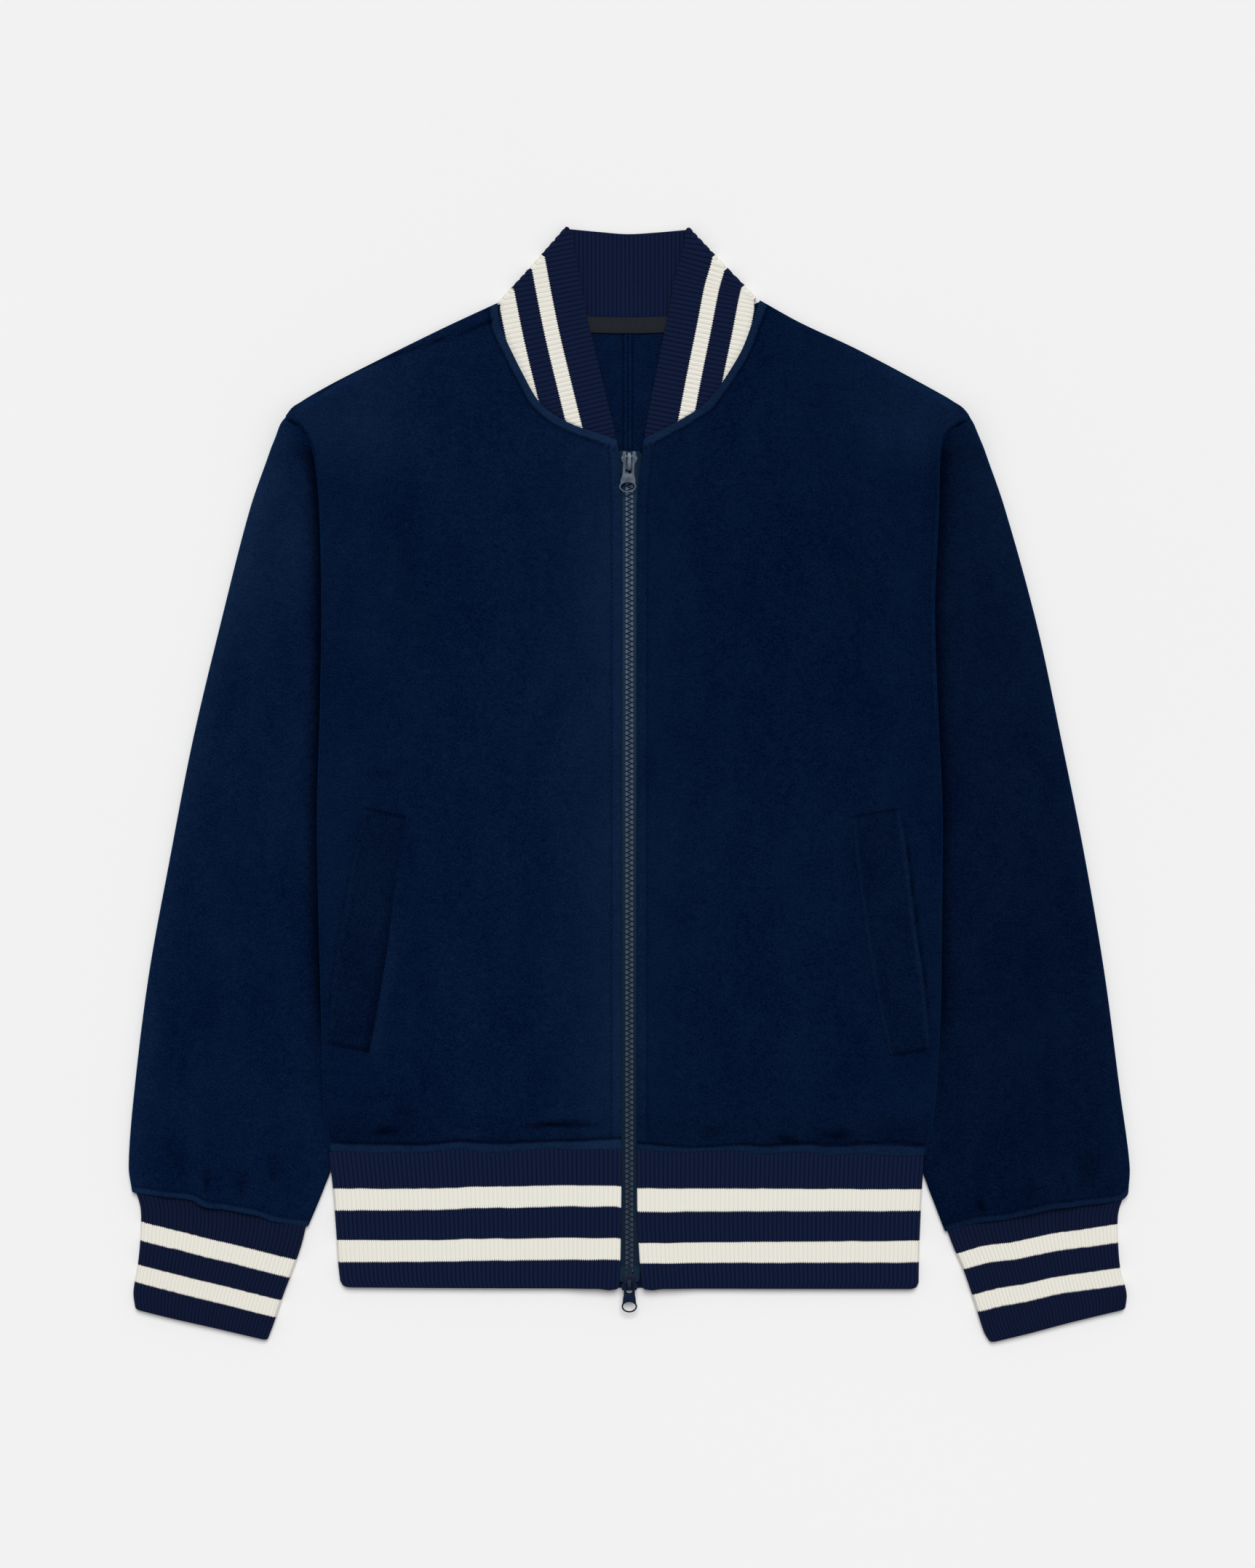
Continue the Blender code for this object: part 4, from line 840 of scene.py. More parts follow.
def nap_group():
    """Brushed fleece: clouds, tufts and fuzz in its colour, lightened by painted light and darkened by
    painted shade, and its height in metres.
    """
    group = bpy.data.node_groups.get("fleece nap")
    if group:
        return group
    group, given, end = new_group(
        "fleece nap",
        [("Place", "Vector"), ("Dark", "Color"), ("Light", "Color"), ("Painted light", "Float"), ("Painted shade", "Float")],
        [("Colour", "Color"), ("Height", "Float")],
    )
    place = given["Place"]
    drawn = node(group, "Mapping", {"Vector": place, "Scale": (1.0, 0.45, 1.0)}).outputs[0]
    # Each layer: where it is read, lumps a metre, detail, roughness and the range spread from 0 to 1
    cloud, streak, tuft, fuzz, speck = (
        stretched(group, grain(group, where, scale, detail, roughness), low, high)
        for where, scale, detail, roughness, low, high in (
            (place, 11.0, 3.0, 0.5, 0.34, 0.68), (drawn, 48.0, 3.0, 0.5, 0.36, 0.66),
            (place, 170.0, 3.0, 0.6, 0.34, 0.66), (place, 820.0, 3.0, 0.7, 0.32, 0.68),
            (place, 2400.0, 1.0, 0.5, 0.3, 0.7),
        )
    )
    soft = calc(group, "MULTIPLY_ADD", cloud, 0.16, calc(group, "MULTIPLY", streak, 0.2))
    fine = calc(group, "MULTIPLY_ADD", tuft, 0.22, fuzz)
    fine = calc(group, "MULTIPLY_ADD", speck, 0.6, fine)
    share = calc(group, "SUBTRACT", calc(group, "ADD", soft, fine), 0.58)
    # Painted light: the nap is lightened on raised bands, ridges, rims and lit patches
    share = calc(group, "MAXIMUM", calc(group, "MULTIPLY_ADD", given["Painted light"], 1.6, share), 0.0)
    with_painted_light = mixed(group, share, given["Dark"], given["Light"])
    with_painted_light.node.clamp_factor = False
    # Painted shade: the colour is darkened in grooves, creases, gaps and shadowed valleys
    depth = calc(group, "MULTIPLY_ADD", given["Painted shade"], -0.72, 1.0)
    group.links.new(scaled(group, with_painted_light, depth), end["Colour"])
    rough = calc(group, "MULTIPLY_ADD", fuzz, 0.00045, calc(group, "MULTIPLY", tuft, 0.0005))
    group.links.new(calc(group, "MULTIPLY_ADD", speck, 0.00016, rough), end["Height"])
    return group


def rib_group():
    """Ribbed knit: two stripes with stepped edges and a painted shadow line above the pale ones, painted
    shade in the furrows, and the height of its courses.
    """
    group = bpy.data.node_groups.get("rib knit")
    if group:
        return group
    group, given, end = new_group(
        "rib knit",
        [("Place", "Vector"), ("Cloth", "Vector"), ("Navy", "Color"), ("Furrow shade", "Color"), ("Cream", "Color")]
        + [("Edge " + word, "Float") for word in ("one", "two", "three", "four")]
        + [("Scallop up", "Float"), ("Scallop down", "Float"), ("Course", "Float"), ("Cream furrow shade", "Float")],
        [("Colour", "Color"), ("Height", "Float"), ("Stripe", "Float")],
    )
    number, down, striped = node(group, "SeparateXYZ", {0: given["Cloth"]}).outputs
    part = calc(group, "FRACT", number)
    crest = calc(group, "ABSOLUTE", calc(group, "MULTIPLY_ADD", part, 2.0, -1.0))
    furrow = calc(group, "POWER", crest, 3.5)
    wool = grain(group, given["Place"], 2600.0, 2.0)
    wander = calc(group, "MULTIPLY_ADD", wool, 0.3, -0.15)

    half_rib = calc(group, "FRACT", calc(group, "MULTIPLY", number, 2.0))
    wale = calc(group, "ABSOLUTE", calc(group, "MULTIPLY_ADD", half_rib, 2.0, -1.0))

    def edge(name, scallop, sign):
        bent = calc(group, "MULTIPLY", wale, given[scallop])
        at = calc(group, "MULTIPLY_ADD", bent, sign, calc(group, "ADD", down, wander))
        return calc(group, "SUBTRACT", at, given["Edge " + name])

    above = [edge(name, "Scallop up", -1.0) for name in ("one", "three")]
    below = [stretched(group, edge(name, "Scallop down", 1.0), 0.15, -0.15) for name in ("two", "four")]
    starts = [stretched(group, gap, -0.15, 0.15) for gap in above]
    # Painted shadow: a dark line on the dark knit just above each pale stripe's top edge
    shadows = [
        calc(group, "ADD", stretched(group, gap, -0.9, -0.3), stretched(group, gap, 0.0, 0.1), clamp=True)
        for gap in above
    ]
    first, second = (calc(group, "MULTIPLY", *pair) for pair in zip(starts, below))
    rim = [calc(group, "MULTIPLY", shadow, stretched(group, gap, 0.6, 0.1))
           for shadow, gap in zip(shadows, above)]
    rim = calc(group, "MULTIPLY", calc(group, "ADD", *rim, clamp=True), striped)
    stripe = calc(group, "MULTIPLY", calc(group, "ADD", first, second, clamp=True), striped)
    course = calc(group, "MULTIPLY", down, calc(group, "DIVIDE", math.tau, given["Course"]))
    loops = calc(group, "MULTIPLY_ADD", crest, 3.4, course)
    knit = calc(group, "MULTIPLY_ADD", calc(group, "SINE", loops), 0.5, 0.5)
    shade = calc(group, "MULTIPLY_ADD", knit, 0.2, 0.88)
    shade = calc(group, "MULTIPLY", shade, calc(group, "MULTIPLY_ADD", rim, -0.6, 1.0))
    lint = stretched(group, grain(group, given["Place"], 5200.0, 2.0, 0.7), 0.3, 0.7, 0.75, 1.25)
    # Painted shade: the dark stripes take the furrow colour in their furrows
    dark = mixed(group, furrow, given["Navy"], given["Furrow shade"])
    dark = scaled(group, dark, calc(group, "MULTIPLY", shade, lint))
    # Painted shade: thin darker lines in the furrows of the pale stripes
    pale = calc(group, "MULTIPLY", calc(group, "POWER", furrow, 3.5), given["Cream furrow shade"])
    pale = calc(group, "SUBTRACT", 1.0, pale)
    pale = calc(group, "MULTIPLY", pale, calc(group, "MULTIPLY_ADD", knit, 0.03, 0.98))
    group.links.new(mixed(group, stripe, dark, scaled(group, given["Cream"], pale)), end["Colour"])
    rough = calc(group, "MULTIPLY_ADD", wool, 0.00010, calc(group, "MULTIPLY", knit, 0.00005))
    group.links.new(rough, end["Height"])
    group.links.new(stripe, end["Stripe"])
    return group


def weave_group():
    """Woven tape: crossing yarns in its colour, lightened where a painted lit strip lies, and its height."""
    group = bpy.data.node_groups.get("tape weave")
    if group:
        return group
    group, given, end = new_group(
        "tape weave",
        [("Place", "Vector"), ("Yarn", "Color")]
        + [(name, "Float") for name in ("Yarns across", "Yarns along", "Lit strip")],
        [("Colour", "Color"), ("Height", "Float")],
    )
    split = node(group, "SeparateXYZ", {0: given["Place"]}).outputs
    across = calc(group, "MULTIPLY", split[0], given["Yarns across"])
    along = calc(group, "MULTIPLY", split[1], given["Yarns along"])
    turned = calc(group, "PINGPONG", across, 2.5)
    twill = calc(group, "SINE", calc(group, "MULTIPLY", calc(group, "ADD", turned, along), math.tau))
    height = calc(group, "MULTIPLY_ADD", twill, 0.5, 0.5)
    dust = stretched(group, grain(group, given["Place"], 1800.0), 0.3, 0.7, 0.75, 1.3)
    shade = calc(group, "MULTIPLY", calc(group, "MULTIPLY_ADD", height, 0.5, 0.72), dust)
    # Painted light: the lit strip lightens the yarn
    shade = calc(group, "MULTIPLY", shade, calc(group, "ADD", given["Lit strip"], 1.0))
    group.links.new(scaled(group, given["Yarn"], shade), end["Colour"])
    group.links.new(calc(group, "MULTIPLY", height, 0.00012), end["Height"])
    return group


def moulding_group():
    """Moulded plastic: faint flow marks, painted highlights on its edges and uneven gloss, darker towards the
    zip's foot.
    """
    group = bpy.data.node_groups.get("moulded skin")
    if group:
        return group
    group, given, end = new_group(
        "moulded skin",
        [("Place", "Vector"), ("Body", "Color"), ("Edge highlight", "Color"), ("Gloss", "Float")],
        [("Colour", "Color"), ("Roughness", "Float"), ("Height", "Float")],
    )
    flow = grain(group, given["Place"], 260.0, 3.0)
    pits = grain(group, given["Place"], 2600.0)
    bent = stretched(group, node(group, "NewGeometry").outputs["Pointiness"], 0.505, 0.6)
    # Painted highlight: bevelled edges take the lighter edge colour
    with_painted_light = calc(group, "MULTIPLY", bent, stretched(group, flow, 0.3, 0.6, 0.35, 1.0))
    toned = stretched(group, flow, 0.3, 0.7, 0.82, 1.2)
    along = node(group, "SeparateXYZ", {0: given["Place"]}).outputs[1]
    fade = stretched(group, along, -0.3, 0.2, 0.42, 1.0)
    seen = mixed(group, with_painted_light, scaled(group, given["Body"], toned), given["Edge highlight"])
    group.links.new(scaled(group, seen, fade), end["Colour"])
    group.links.new(calc(group, "MULTIPLY_ADD", pits, 0.22, given["Gloss"]), end["Roughness"])
    group.links.new(calc(group, "MULTIPLY", pits, 0.00003), end["Height"])
    return group


def new_finish(name, shader_values):
    """A material with its Principled BSDF set: its tree and its shader."""
    finish = bpy.data.materials.new(name)
    finish.use_nodes = True
    shader = finish.node_tree.nodes["Principled BSDF"]
    for place, value in shader_values.items():
        shader.inputs[place].default_value = value
    return finish, finish.node_tree, shader


def grouped_finish(name, group, shader_values, group_values, strength, cloth=()):
    """A material led by a node group; cloth names the inputs that the cloth's values feed."""
    finish, tree, shader = new_finish(name, shader_values)
    skin = node(tree, "Group", {"Place": place_of(tree), **group_values}, node_tree=group)
    if cloth:
        kept = node(tree, "Attribute", attribute_name="cloth").outputs["Vector"]
        values = [kept] if cloth == ("Cloth",) else node(tree, "SeparateXYZ", {0: kept}).outputs
        for title, value in zip(cloth, values):
            tree.links.new(value, skin.inputs[title])
    tree.links.new(skin.outputs["Colour"], shader.inputs["Base Color"])
    bump = node(tree, "Bump", {"Height": skin.outputs["Height"], "Strength": strength, "Distance": 1.0})
    tree.links.new(bump.outputs[0], shader.inputs["Normal"])
    if "Roughness" in skin.outputs:
        tree.links.new(skin.outputs["Roughness"], shader.inputs["Roughness"])
    return finish


def place_of(tree):
    """Where a point is on its piece, in metres."""
    return node(tree, "TexCoord").outputs["Object"]


def toned(colour, tone=1.0):
    """A colour setting with its alpha, made darker by a tone."""
    return [value * tone for value in colour] + [1.0]


def colours():
    """The scene's colour settings."""
    return bpy.context.scene.jacket_colours


def fleece(name="brushed fleece", tone=1.0):
    """The brushed fleece, or a darker copy of it: painted shade over the right front and the right sleeve, or
    the welts' darker nap.
    """
    if name in bpy.data.materials:
        return bpy.data.materials[name]
    given = colours()
    shader_values = {
        "Roughness": 1.0, "Specular IOR Level": 0.0, "Sheen Weight": 0.16, "Sheen Roughness": 0.3,
        "Sheen Tint": toned(given.fleece_sheen),
    }
    values = {"Dark": toned(given.fleece_dark, tone), "Light": toned(given.fleece_light, tone)}
    return grouped_finish(name, nap_group(), shader_values, values, 0.8, ("Painted light", "Painted shade"))


def rib_knit(name, edges, scallop_up, scallop_down, cream_furrow_shade, tone=1.0):
    """The striped rib knit, with its stripe edges in millimetres down the cloth."""
    if name in bpy.data.materials:
        return bpy.data.materials[name]
    given = colours()
    shader_values = {
        "Roughness": 0.95, "Specular IOR Level": 0.04, "Sheen Weight": 0.05, "Sheen Roughness": 0.5,
        "Sheen Tint": (0.5, 0.5, 0.8, 1.0),
    }
    values = {
        "Navy": toned(given.rib_navy, tone), "Furrow shade": toned(given.rib_furrow_shade, tone),
        "Cream": toned(given.cream),
        "Scallop up": scallop_up, "Scallop down": scallop_down, "Course": 1.25, "Cream furrow shade": cream_furrow_shade,
        **{"Edge " + word: edge for word, edge in zip(("one", "two", "three", "four"), edges)},
    }
    return grouped_finish(name, rib_group(), shader_values, values, 0.8, ("Cloth",))


def woven(name, colour, across, along):
    """A woven tape, with its yarns a metre."""
    if name in bpy.data.materials:
        return bpy.data.materials[name]
    shader_values = {"Roughness": 0.9, "Specular IOR Level": 0.02}
    values = {"Yarn": toned(colour), "Yarns across": across, "Yarns along": along}
    return grouped_finish(name, weave_group(), shader_values, values, 0.7, ("Lit strip",))


def moulded(name, body, edge_highlight, gloss, gleam):
    """Moulded plastic in one colour, with painted highlights on its edges."""
    if name in bpy.data.materials:
        return bpy.data.materials[name]
    values = {"Body": toned(body), "Edge highlight": toned(edge_highlight), "Gloss": gloss}
    return grouped_finish(name, moulding_group(), {"Specular IOR Level": gleam}, values, 0.6)


def settle(piece, slot, *nodes, body=BODY):
    """Bind a piece to its body and hide the solids that it stands for; slot is not used."""
    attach(piece, body)
    if nodes:
        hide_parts(*nodes)


def sides():
    """Both sides as seen, with their word and their place in a row of left and right."""
    return ((-1, "left", 1), (1, "right", 2))


def body_plan(neck, shoulder, middle_points, side_line, bottom):
    """A body panel's plan and the share of v at which its neckline ends."""
    middle = Line([tuple(neck(0.0))] + middle_points + [tuple(bottom(0.0))])
    start = Joined(Line(neck.knots[::-1]), middle)
    return patch(shoulder, bottom, start, side_line), start


def body_rows(start, step):
    """Rows of a body panel, with one at the neckline's corner and close ones at its ends."""
    neck = start.first.length
    upper = marks(neck, step, (0.0, 0.25, 0.7, 1.4, 2.4, 3.6, 5.0), (0.0,))
    lower = marks(start.length - neck, step, (0.0,), (0.0, 0.25, 0.7, 1.3, 2.6, 4.2, 5.2, 6.0, 6.8, 7.8, 9.5))
    return np.concatenate([upper, neck + lower[1:]]) / start.length


def front_seams(side, place, neck, x, y):
    """Height of a front's seam bands, where the zip's band is the highest, and the gap to each seam."""
    neck_gap = distance_to(x, y, neck) + 0.5 * ripple(x, y, 14.0, 40.0 + side)
    zip_gap = np.abs(x - column(ZIP_EDGE, place, y))
    hem_gap = HEM_STITCH * (y - seam_y(x)) / (hem_stitch_y(x) - seam_y(x))
    neck_band, hem_band = band(neck_gap, NECK_STITCH), band(hem_gap, HEM_STITCH, 0.5, 0.9)
    zip_band = (1.0 - ease((y - 232.0) / 8.0)) * band(zip_gap, ZIP_BAND, 0.3, 0.35)
    flat = np.where(np.abs(neck_band) > np.abs(zip_band), neck_band, zip_band)
    flat = np.where(np.abs(hem_band) > np.abs(flat), hem_band, flat)
    return flat, flat == zip_band, neck_gap, zip_gap, hem_gap


def side_turn(side, edge, high):
    """Outer and inner points of the fold at a front's side and of the strip that is turned under."""
    below = side_lift(edge[:, 0], edge[:, 1])
    run = tuple(values[1:-1] for values in plain_marks(10))
    fold = fold_run(edge, np.array([[float(side), 0.0]]), high, BODY_FOLD, FLEECE, run, 0.0, below)
    inward = np.array((BODY_FOLD, 5.0, 8.0, 11.0, 12.6, 13.4, SIDE_TURN))[None, :]
    under_x = edge[:, :1] - side * inward
    under_y = np.broadcast_to(edge[:, 1:2], under_x.shape).copy()
    under_y[-1] = seam_y(under_x[-1]) + SEAM_HALF
    under = np.stack([under_x, under_y], axis=-1)
    strip = at_height(under, below[:, None]), at_height(under, below[:, None] + FLEECE)
    return fold, rounded(*strip, SIDE_TURN - inward)


def make_front(side, word, place):
    """One front, from the zip to the armhole and the side, where it turns under."""
    neck = Line(NECK_FRONT[side])
    edge_points = side_points(BODY_EDGE, side)
    bottom = hem_line(column(ZIP_EDGE, place, -250.0), edge_points[-1][0], SEAM_OVERLAP)
    edge_points[-1] = tuple(bottom(1.0))
    zip_points = [(column(ZIP_EDGE, place, y), y) for y in (224.0, 217.0, 206.0, 190.0, 0.0)]
    plan, start = body_plan(neck, Line(SHOULDER[side]), zip_points, Line(edge_points), bottom)
    v = body_rows(start, 2.7)[:, None]
    edge, wide = plan_width(plan, v)
    flat_end = wide - BODY_FOLD
    across = across_marks(wide, flat_end, (6.4, 5.2, 4.2, 3.2, 2.0, 1.0, 0.0), 60)
    at = plan(across / wide, v)
    x, y = at[..., 0], at[..., 1]

    low = lay_height(x, y)
    flat, by_zip, neck_gap, zip_gap, hem_gap = front_seams(side, place, neck, x, y)
    free = ease((flat_end - across) / 12.0) * (1.0 - welt_share(side, x, y))
    nearest = np.minimum(np.minimum(neck_gap, zip_gap), np.maximum(hem_gap, 0.0))
    calm = 1.0 - np.exp(-nearest / 4.0)
    puff = 0.3 * ripple(x, y, 9.0, 50.0 + side) * bell(hem_gap - 2.5, 2.5)
    soft = calm * (free * nap(x, y, side) + free * creases("front", x, y))
    slit, by_welt = welt_shadow(side, x, y)
    top = np.maximum(low + FLEECE + flat + puff + soft, low + 1.0) - 0.8 * slit
    armhole = armhole_groove(side, x, y, wide - across)

    shoulder_gap = v * start.length
    roll = rim_drop(shoulder_gap, SHOULDER_ROLL)
    clear_of_sleeve = ease((abs(SHOULDER[side][-1][0]) - 4.5 - np.abs(x)) / 8.0)
    fall = (low - FLEECE - LAYER_GAP) * ease(1.0 - shoulder_gap / SHOULDER_FALL) * clear_of_sleeve
    inside = np.maximum(low - fall - roll, FLEECE + LAYER_GAP)
    outer = at_height(at, np.maximum(top - armhole - fall - 3.0 * roll, inside + THIN_EDGE))
    rim = np.minimum(np.minimum(across, shoulder_gap), (1.0 - v) * start.length)
    outer, inner = rounded(outer, at_height(at, inside), rim)
    fold, strip = side_turn(side, edge[:, 0], outer[:, -1, 2])
    outer, inner = (np.concatenate(runs, axis=1) for runs in zip((outer, inner), fold, strip))

    # Painted light on crease ridges, raised seam bands, glowing patches by the zip and the shoulders and
    # beside the left welt; painted shade in stitch grooves, the armhole groove, crease troughs and the
    # pocket's open slit; darker towards the hem
    sharp = free * creases("front", x, y, True)
    glow = (0.34 if side < 0 else 0.1) * bell(zip_gap, 38.0)
    glow = glow + 0.3 * ease((y - 195.0) / 55.0) * ease((np.abs(x) - 110.0) / 90.0)
    lift = np.where(by_zip, 0.4, 1.3) * np.clip(flat, 0.0, 0.5) + np.clip(0.3 * sharp, 0.0, 0.5) + glow
    lift = lift + 0.22 * by_welt * (side < 0)
    dip = np.clip(-1.5 * flat, 0.0, 1.0) + np.clip(armhole, 0.0, 1.0) + np.clip(-0.9 * sharp, 0.0, 1.0)
    dip = dip + 0.8 * slit + 0.15 * ease((-218.0 - y) / 20.0)
    values = np.zeros(outer.shape)
    values[:, :across.shape[1]] = cloth_values(lift, dip, 0.0)

    name = "front_" + word
    # Painted shade: the right front gets a darker copy of the fleece
    skin = fleece() if side < 0 else fleece("fleece right front", colours().shaded_right_front)
    piece = wall(name, outer, inner, False, skin, values)
    settle(piece, "fleece", name)


def welt_sides(side, y):
    """How far from the middle the two long sides of a welt are, at y."""
    return [np.interp(-y, -line[:, 1], np.abs(line[:, 0]))
            for line in (np.array(WELT_INNER[side]), np.array(WELT_OUTER[side]))]


def welt_share(side, x, y):
    """1 where a pocket welt lies on the front, 0 off it, with a soft border."""
    near, far = welt_sides(side, y)
    inside = np.minimum(np.abs(x) - near, far - np.abs(x))
    level = np.minimum(WELT_TOP - y, y - WELT_FOOT)
    return ease(np.minimum(inside, level) / 4.0 + 1.0)


def welt_shadow(side, x, y):
    """How open the pocket stands beside its welt, where the front sinks and takes painted shadow, and how
    much of the welt's inner side is near, where the front takes painted light.
    """
    near, far = welt_sides(side, y)
    middle = ease((-22.0 - y) / 30.0) * ease((y + 172.0) / 30.0)
    open_slit = (1.0 if side > 0 else 0.35) * middle * bell(np.abs(x) - far - 0.8, 1.5)
    by_foot = ease((-70.0 - y) / 60.0) * ease((y + 190.0) / 10.0)
    return open_slit, by_foot * bell(near - np.abs(x) - 3.0, 4.0)


def armhole_groove(side, x, y, inside):
    """Depth of the double row of stitches inside the right armhole, and of the left shoulder seam."""
    if side > 0:
        first, second = (bell(inside - row, 0.8) for row in ARMHOLE_ROWS)
        return 0.3 * ease((y - 40.0) / 30.0) * (first + second)
    return 0.8 * bell(distance_to(x, y, Line(SHOULDER_SEAM)), 1.1)


def make_back(side, word, place):
    """One half of the back, from the centre seam to the armhole and the side turn."""
    centre = CENTRE_BACK + side * 0.01
    neck_points = [(x, y - 2.0 * SEAM_HALF) for x, y in NECK_BACK[side][::-1]]
    neck_points[0] = (centre, neck_points[0][1])
    shoulder_points = [neck_points[-1]] + SHOULDER[side][1:-2] + [BACK_TIP[side]]
    armhole = beside([(row[place - 1], row[2]) for row in SLEEVE_MOUTH], -side * 0.9)[1:]
    edge = [(x - side * (SIDE_TURN + SIDE_TURN_GAP), y) for x, y in side_points(BODY_EDGE, side, 51.0)]
    between = (edge[0][0] * 0.3 + armhole[-1][0] * 0.7, 104.0)
    above = (edge[0][0] - side * 3.0, 84.0)
    bottom = hem_line(centre, edge[-1][0], SEAM_HALF)
    edge[-1] = tuple(bottom(1.0))
    side_line = Line([shoulder_points[-1]] + [tuple(point) for point in armhole] + [between, above] + edge)
    plan, start = body_plan(Line(neck_points), Line(shoulder_points), [(centre, 0.0)], side_line, bottom)
    v = body_rows(start, 5.4)[:, None]
    wide = plan_width(plan, v)[1]
    across = across_marks(wide, wide, (2.6, 1.3, 0.6, 0.2, 0.0), 34)
    at = plan(across / wide, v)
    x, y = at[..., 0], at[..., 1]

    fade = 1.0 - ease((y - BACK_FADE_LOW) / (BACK_FADE_HIGH - BACK_FADE_LOW))
    low = side_lift(x, y) * fade
    shown = ease((y - 215.0) / 15.0) * (1.0 - ease((np.abs(x) - 70.0) / 12.0))
    centre_gap = np.abs(x - centre)
    seam = shown * (band(centre_gap, 2.8, 0.35, 0.5) - 0.8 * bell(centre_gap, 0.5))
    top = low + FLEECE + seam + shown * nap(x, y, 5.0 + side)
    by_neck = np.where(v < start.corner, across, FAR)
    edges = np.minimum(np.minimum(by_neck, wide - across), from_ends(v, start.length))
    roll = rim_drop(v * start.length, SHOULDER_ROLL)
    outer, inner = rounded(at_height(at, low + 0.9 * roll), at_height(at, top), edges)
    # Painted light on the raised centre back seam band, painted shade in its groove
    values = cloth_values(np.clip(0.5 * seam, 0.0, 1.0), np.clip(-3.0 * seam, 0.0, 1.0), 0.0 * x)

    name = "back_" + word
    piece = wall(name, outer, inner, False, fleece(), values)
    settle(piece, "fleece", name)


def make_sleeve(side, word, place):
    """One sleeve: an open tube from the armhole to the cuff, its inner fold under the body."""
    mouth_points = [(row[place - 1], row[2]) for row in SLEEVE_MOUTH]
    cuff = Line(CUFF_SEAM[side])
    outer_points, inner_points = side_points(SLEEVE_OUTER, side), side_points(SLEEVE_INNER, side)
    outer_points[-1], inner_points[-1] = CUFF_SEAM[side][0], CUFF_SEAM[side][-1]
    plan = tube_plan(side, mouth_points, CUFF_SEAM[side], outer_points, inner_points)
    length = Line(outer_points).length
    v = marks(length, 2.8, RIM_MARKS, (0.0, 0.25, 0.7, 1.3, 2.6, 3.4, 4.0, 4.6, 5.2, 6.2, 8.0)) / length

    def top(x, y):
        return sleeve_top(side, x, y) + band(distance_to(x, y, cuff), CUFF_STITCH, 0.5, 0.8)

    runs = (plain_marks(24), plain_marks(8), plain_marks(20))
    outer, inner = tube(plan, v, FLEECE, SLEEVE_FOLD, top, runs)[:2]
    gap = distance_to(outer[..., 0], outer[..., 1], cuff)
    low = outer[..., 2] < 2.0
    strip = np.where(low, 0.0, band(gap, CUFF_STITCH, 1.0, 0.8))
    outer, inner = rounded(outer, inner, from_ends(v, length)[:, None])

    x, y = outer[..., 0], outer[..., 1]
    # Painted light on the cuff's raised band, crease ridges, the outer rim and towards the shoulder, more on
    # the left; painted shade in the stitch groove, crease troughs and the valley beside the body's edge
    soft = np.where(low, 0.0, 0.12 * gathers(side, x, y) + creases("sleeve", x, y, True))
    beside_body = np.abs(x) - np.abs(column(BODY_EDGE, place, y))
    valley = ease((y + 200.0) / 60.0) * ease((238.0 - y) / 14.0) * bell(beside_body, 6.0)
    valley = np.where(low, 0.0, valley)
    rim = np.abs(column(SLEEVE_OUTER, place, y)) - np.abs(x)
    lift = 0.5 * np.clip(strip, 0.0, 1.0) + 0.25 * np.clip(soft - 0.2, 0.0, 2.0)
    lift = lift + (0.3 if side < 0 else 0.15) * bell(rim, 11.0)
    by_shoulder = ease((y - 60.0) / 140.0) + 0.4 * ease((y + 100.0) / 160.0)
    lift = lift + (0.22 if side < 0 else 0.14) * by_shoulder * (1.0 - bell(beside_body, 12.0))
    dip = 0.8 * np.clip(-strip, 0.0, 1.0) + 0.9 * np.clip(-soft, 0.0, 1.5)
    dip = dip + (1.0 if side < 0 else 0.8) * valley
    values = cloth_values(lift, np.clip(dip, 0.0, 1.0), 0.0)

    name = "sleeve_" + word
    # Painted shade: the right sleeve gets a darker copy of the fleece
    skin = fleece() if side < 0 else fleece("fleece darker nap", colours().shaded_right_sleeve)
    piece = wall(name, outer, inner, True, skin, values)
    settle(piece, "fleece", name)


def make_cuff(side, word):
    """One cuff: an open ribbed tube."""
    rows = [list(row) for row in CUFF_SIDES[side]]
    rows[0][1] += CUFF_TUCK
    rows[0][3] += CUFF_TUCK
    outer_points, inner_points = [row[:2] for row in rows], [row[2:] for row in rows]
    seam_points = [(x, y + CUFF_TUCK) for x, y in CUFF_SEAM[side]]
    seam_points[0], seam_points[-1] = tuple(rows[0][:2]), tuple(rows[0][2:])
    length = Line(outer_points).length
    plan = with_corners(tube_plan(side, seam_points, CUFF_END[side], outer_points, inner_points), length, 1.2)
    v = marks(length, 2.7, RIM_MARKS, RIM_MARKS) / length

    def top(x, y):
        swell = 0.3 * ripple(x, y, 26.0, 8.0 + side)
        return 0.0 * x + 2.0 * RIB_KNIT + SEAM_GAP + CUFF_PUFF + 0.6 + swell

    runs = rib_runs(Line(seam_points).length, CUFF_RIB)
    outer, inner, u, number = tube(plan, v, RIB_KNIT, CUFF_FOLD, top, runs, RIB_DEPTH)
    outer, inner = rounded(outer, inner, from_ends(v, length)[:, None])
    down = np.broadcast_to(v[:, None], u.shape)
    seen = u if side < 0 else 1.0 - u
    above = CUFF_TUCK - 1.0
    if side < 0:
        seam = np.array(seam_points)
        straight = seam[0, 1] + (seam[-1, 1] - seam[0, 1]) * seen
        x = seam[0, 0] + (seam[-1, 0] - seam[0, 0]) * seen
        above = above + np.interp(x, seam[:, 0], seam[:, 1]) - straight
    reach = stripe_place(CUFF_STRIPES[side], CUFF_STRIPE_EDGES, seen, down, length, above)
    name = "cuff_" + word
    skin = rib_knit("rib knit cuffs", CUFF_STRIPE_EDGES, 0.9, 1.1, 0.2, colours().cuff_tone)
    piece = wall(name, outer, inner, True, skin, cloth_values(number, reach, 1.0))
    settle(piece, "rib_knit", name)


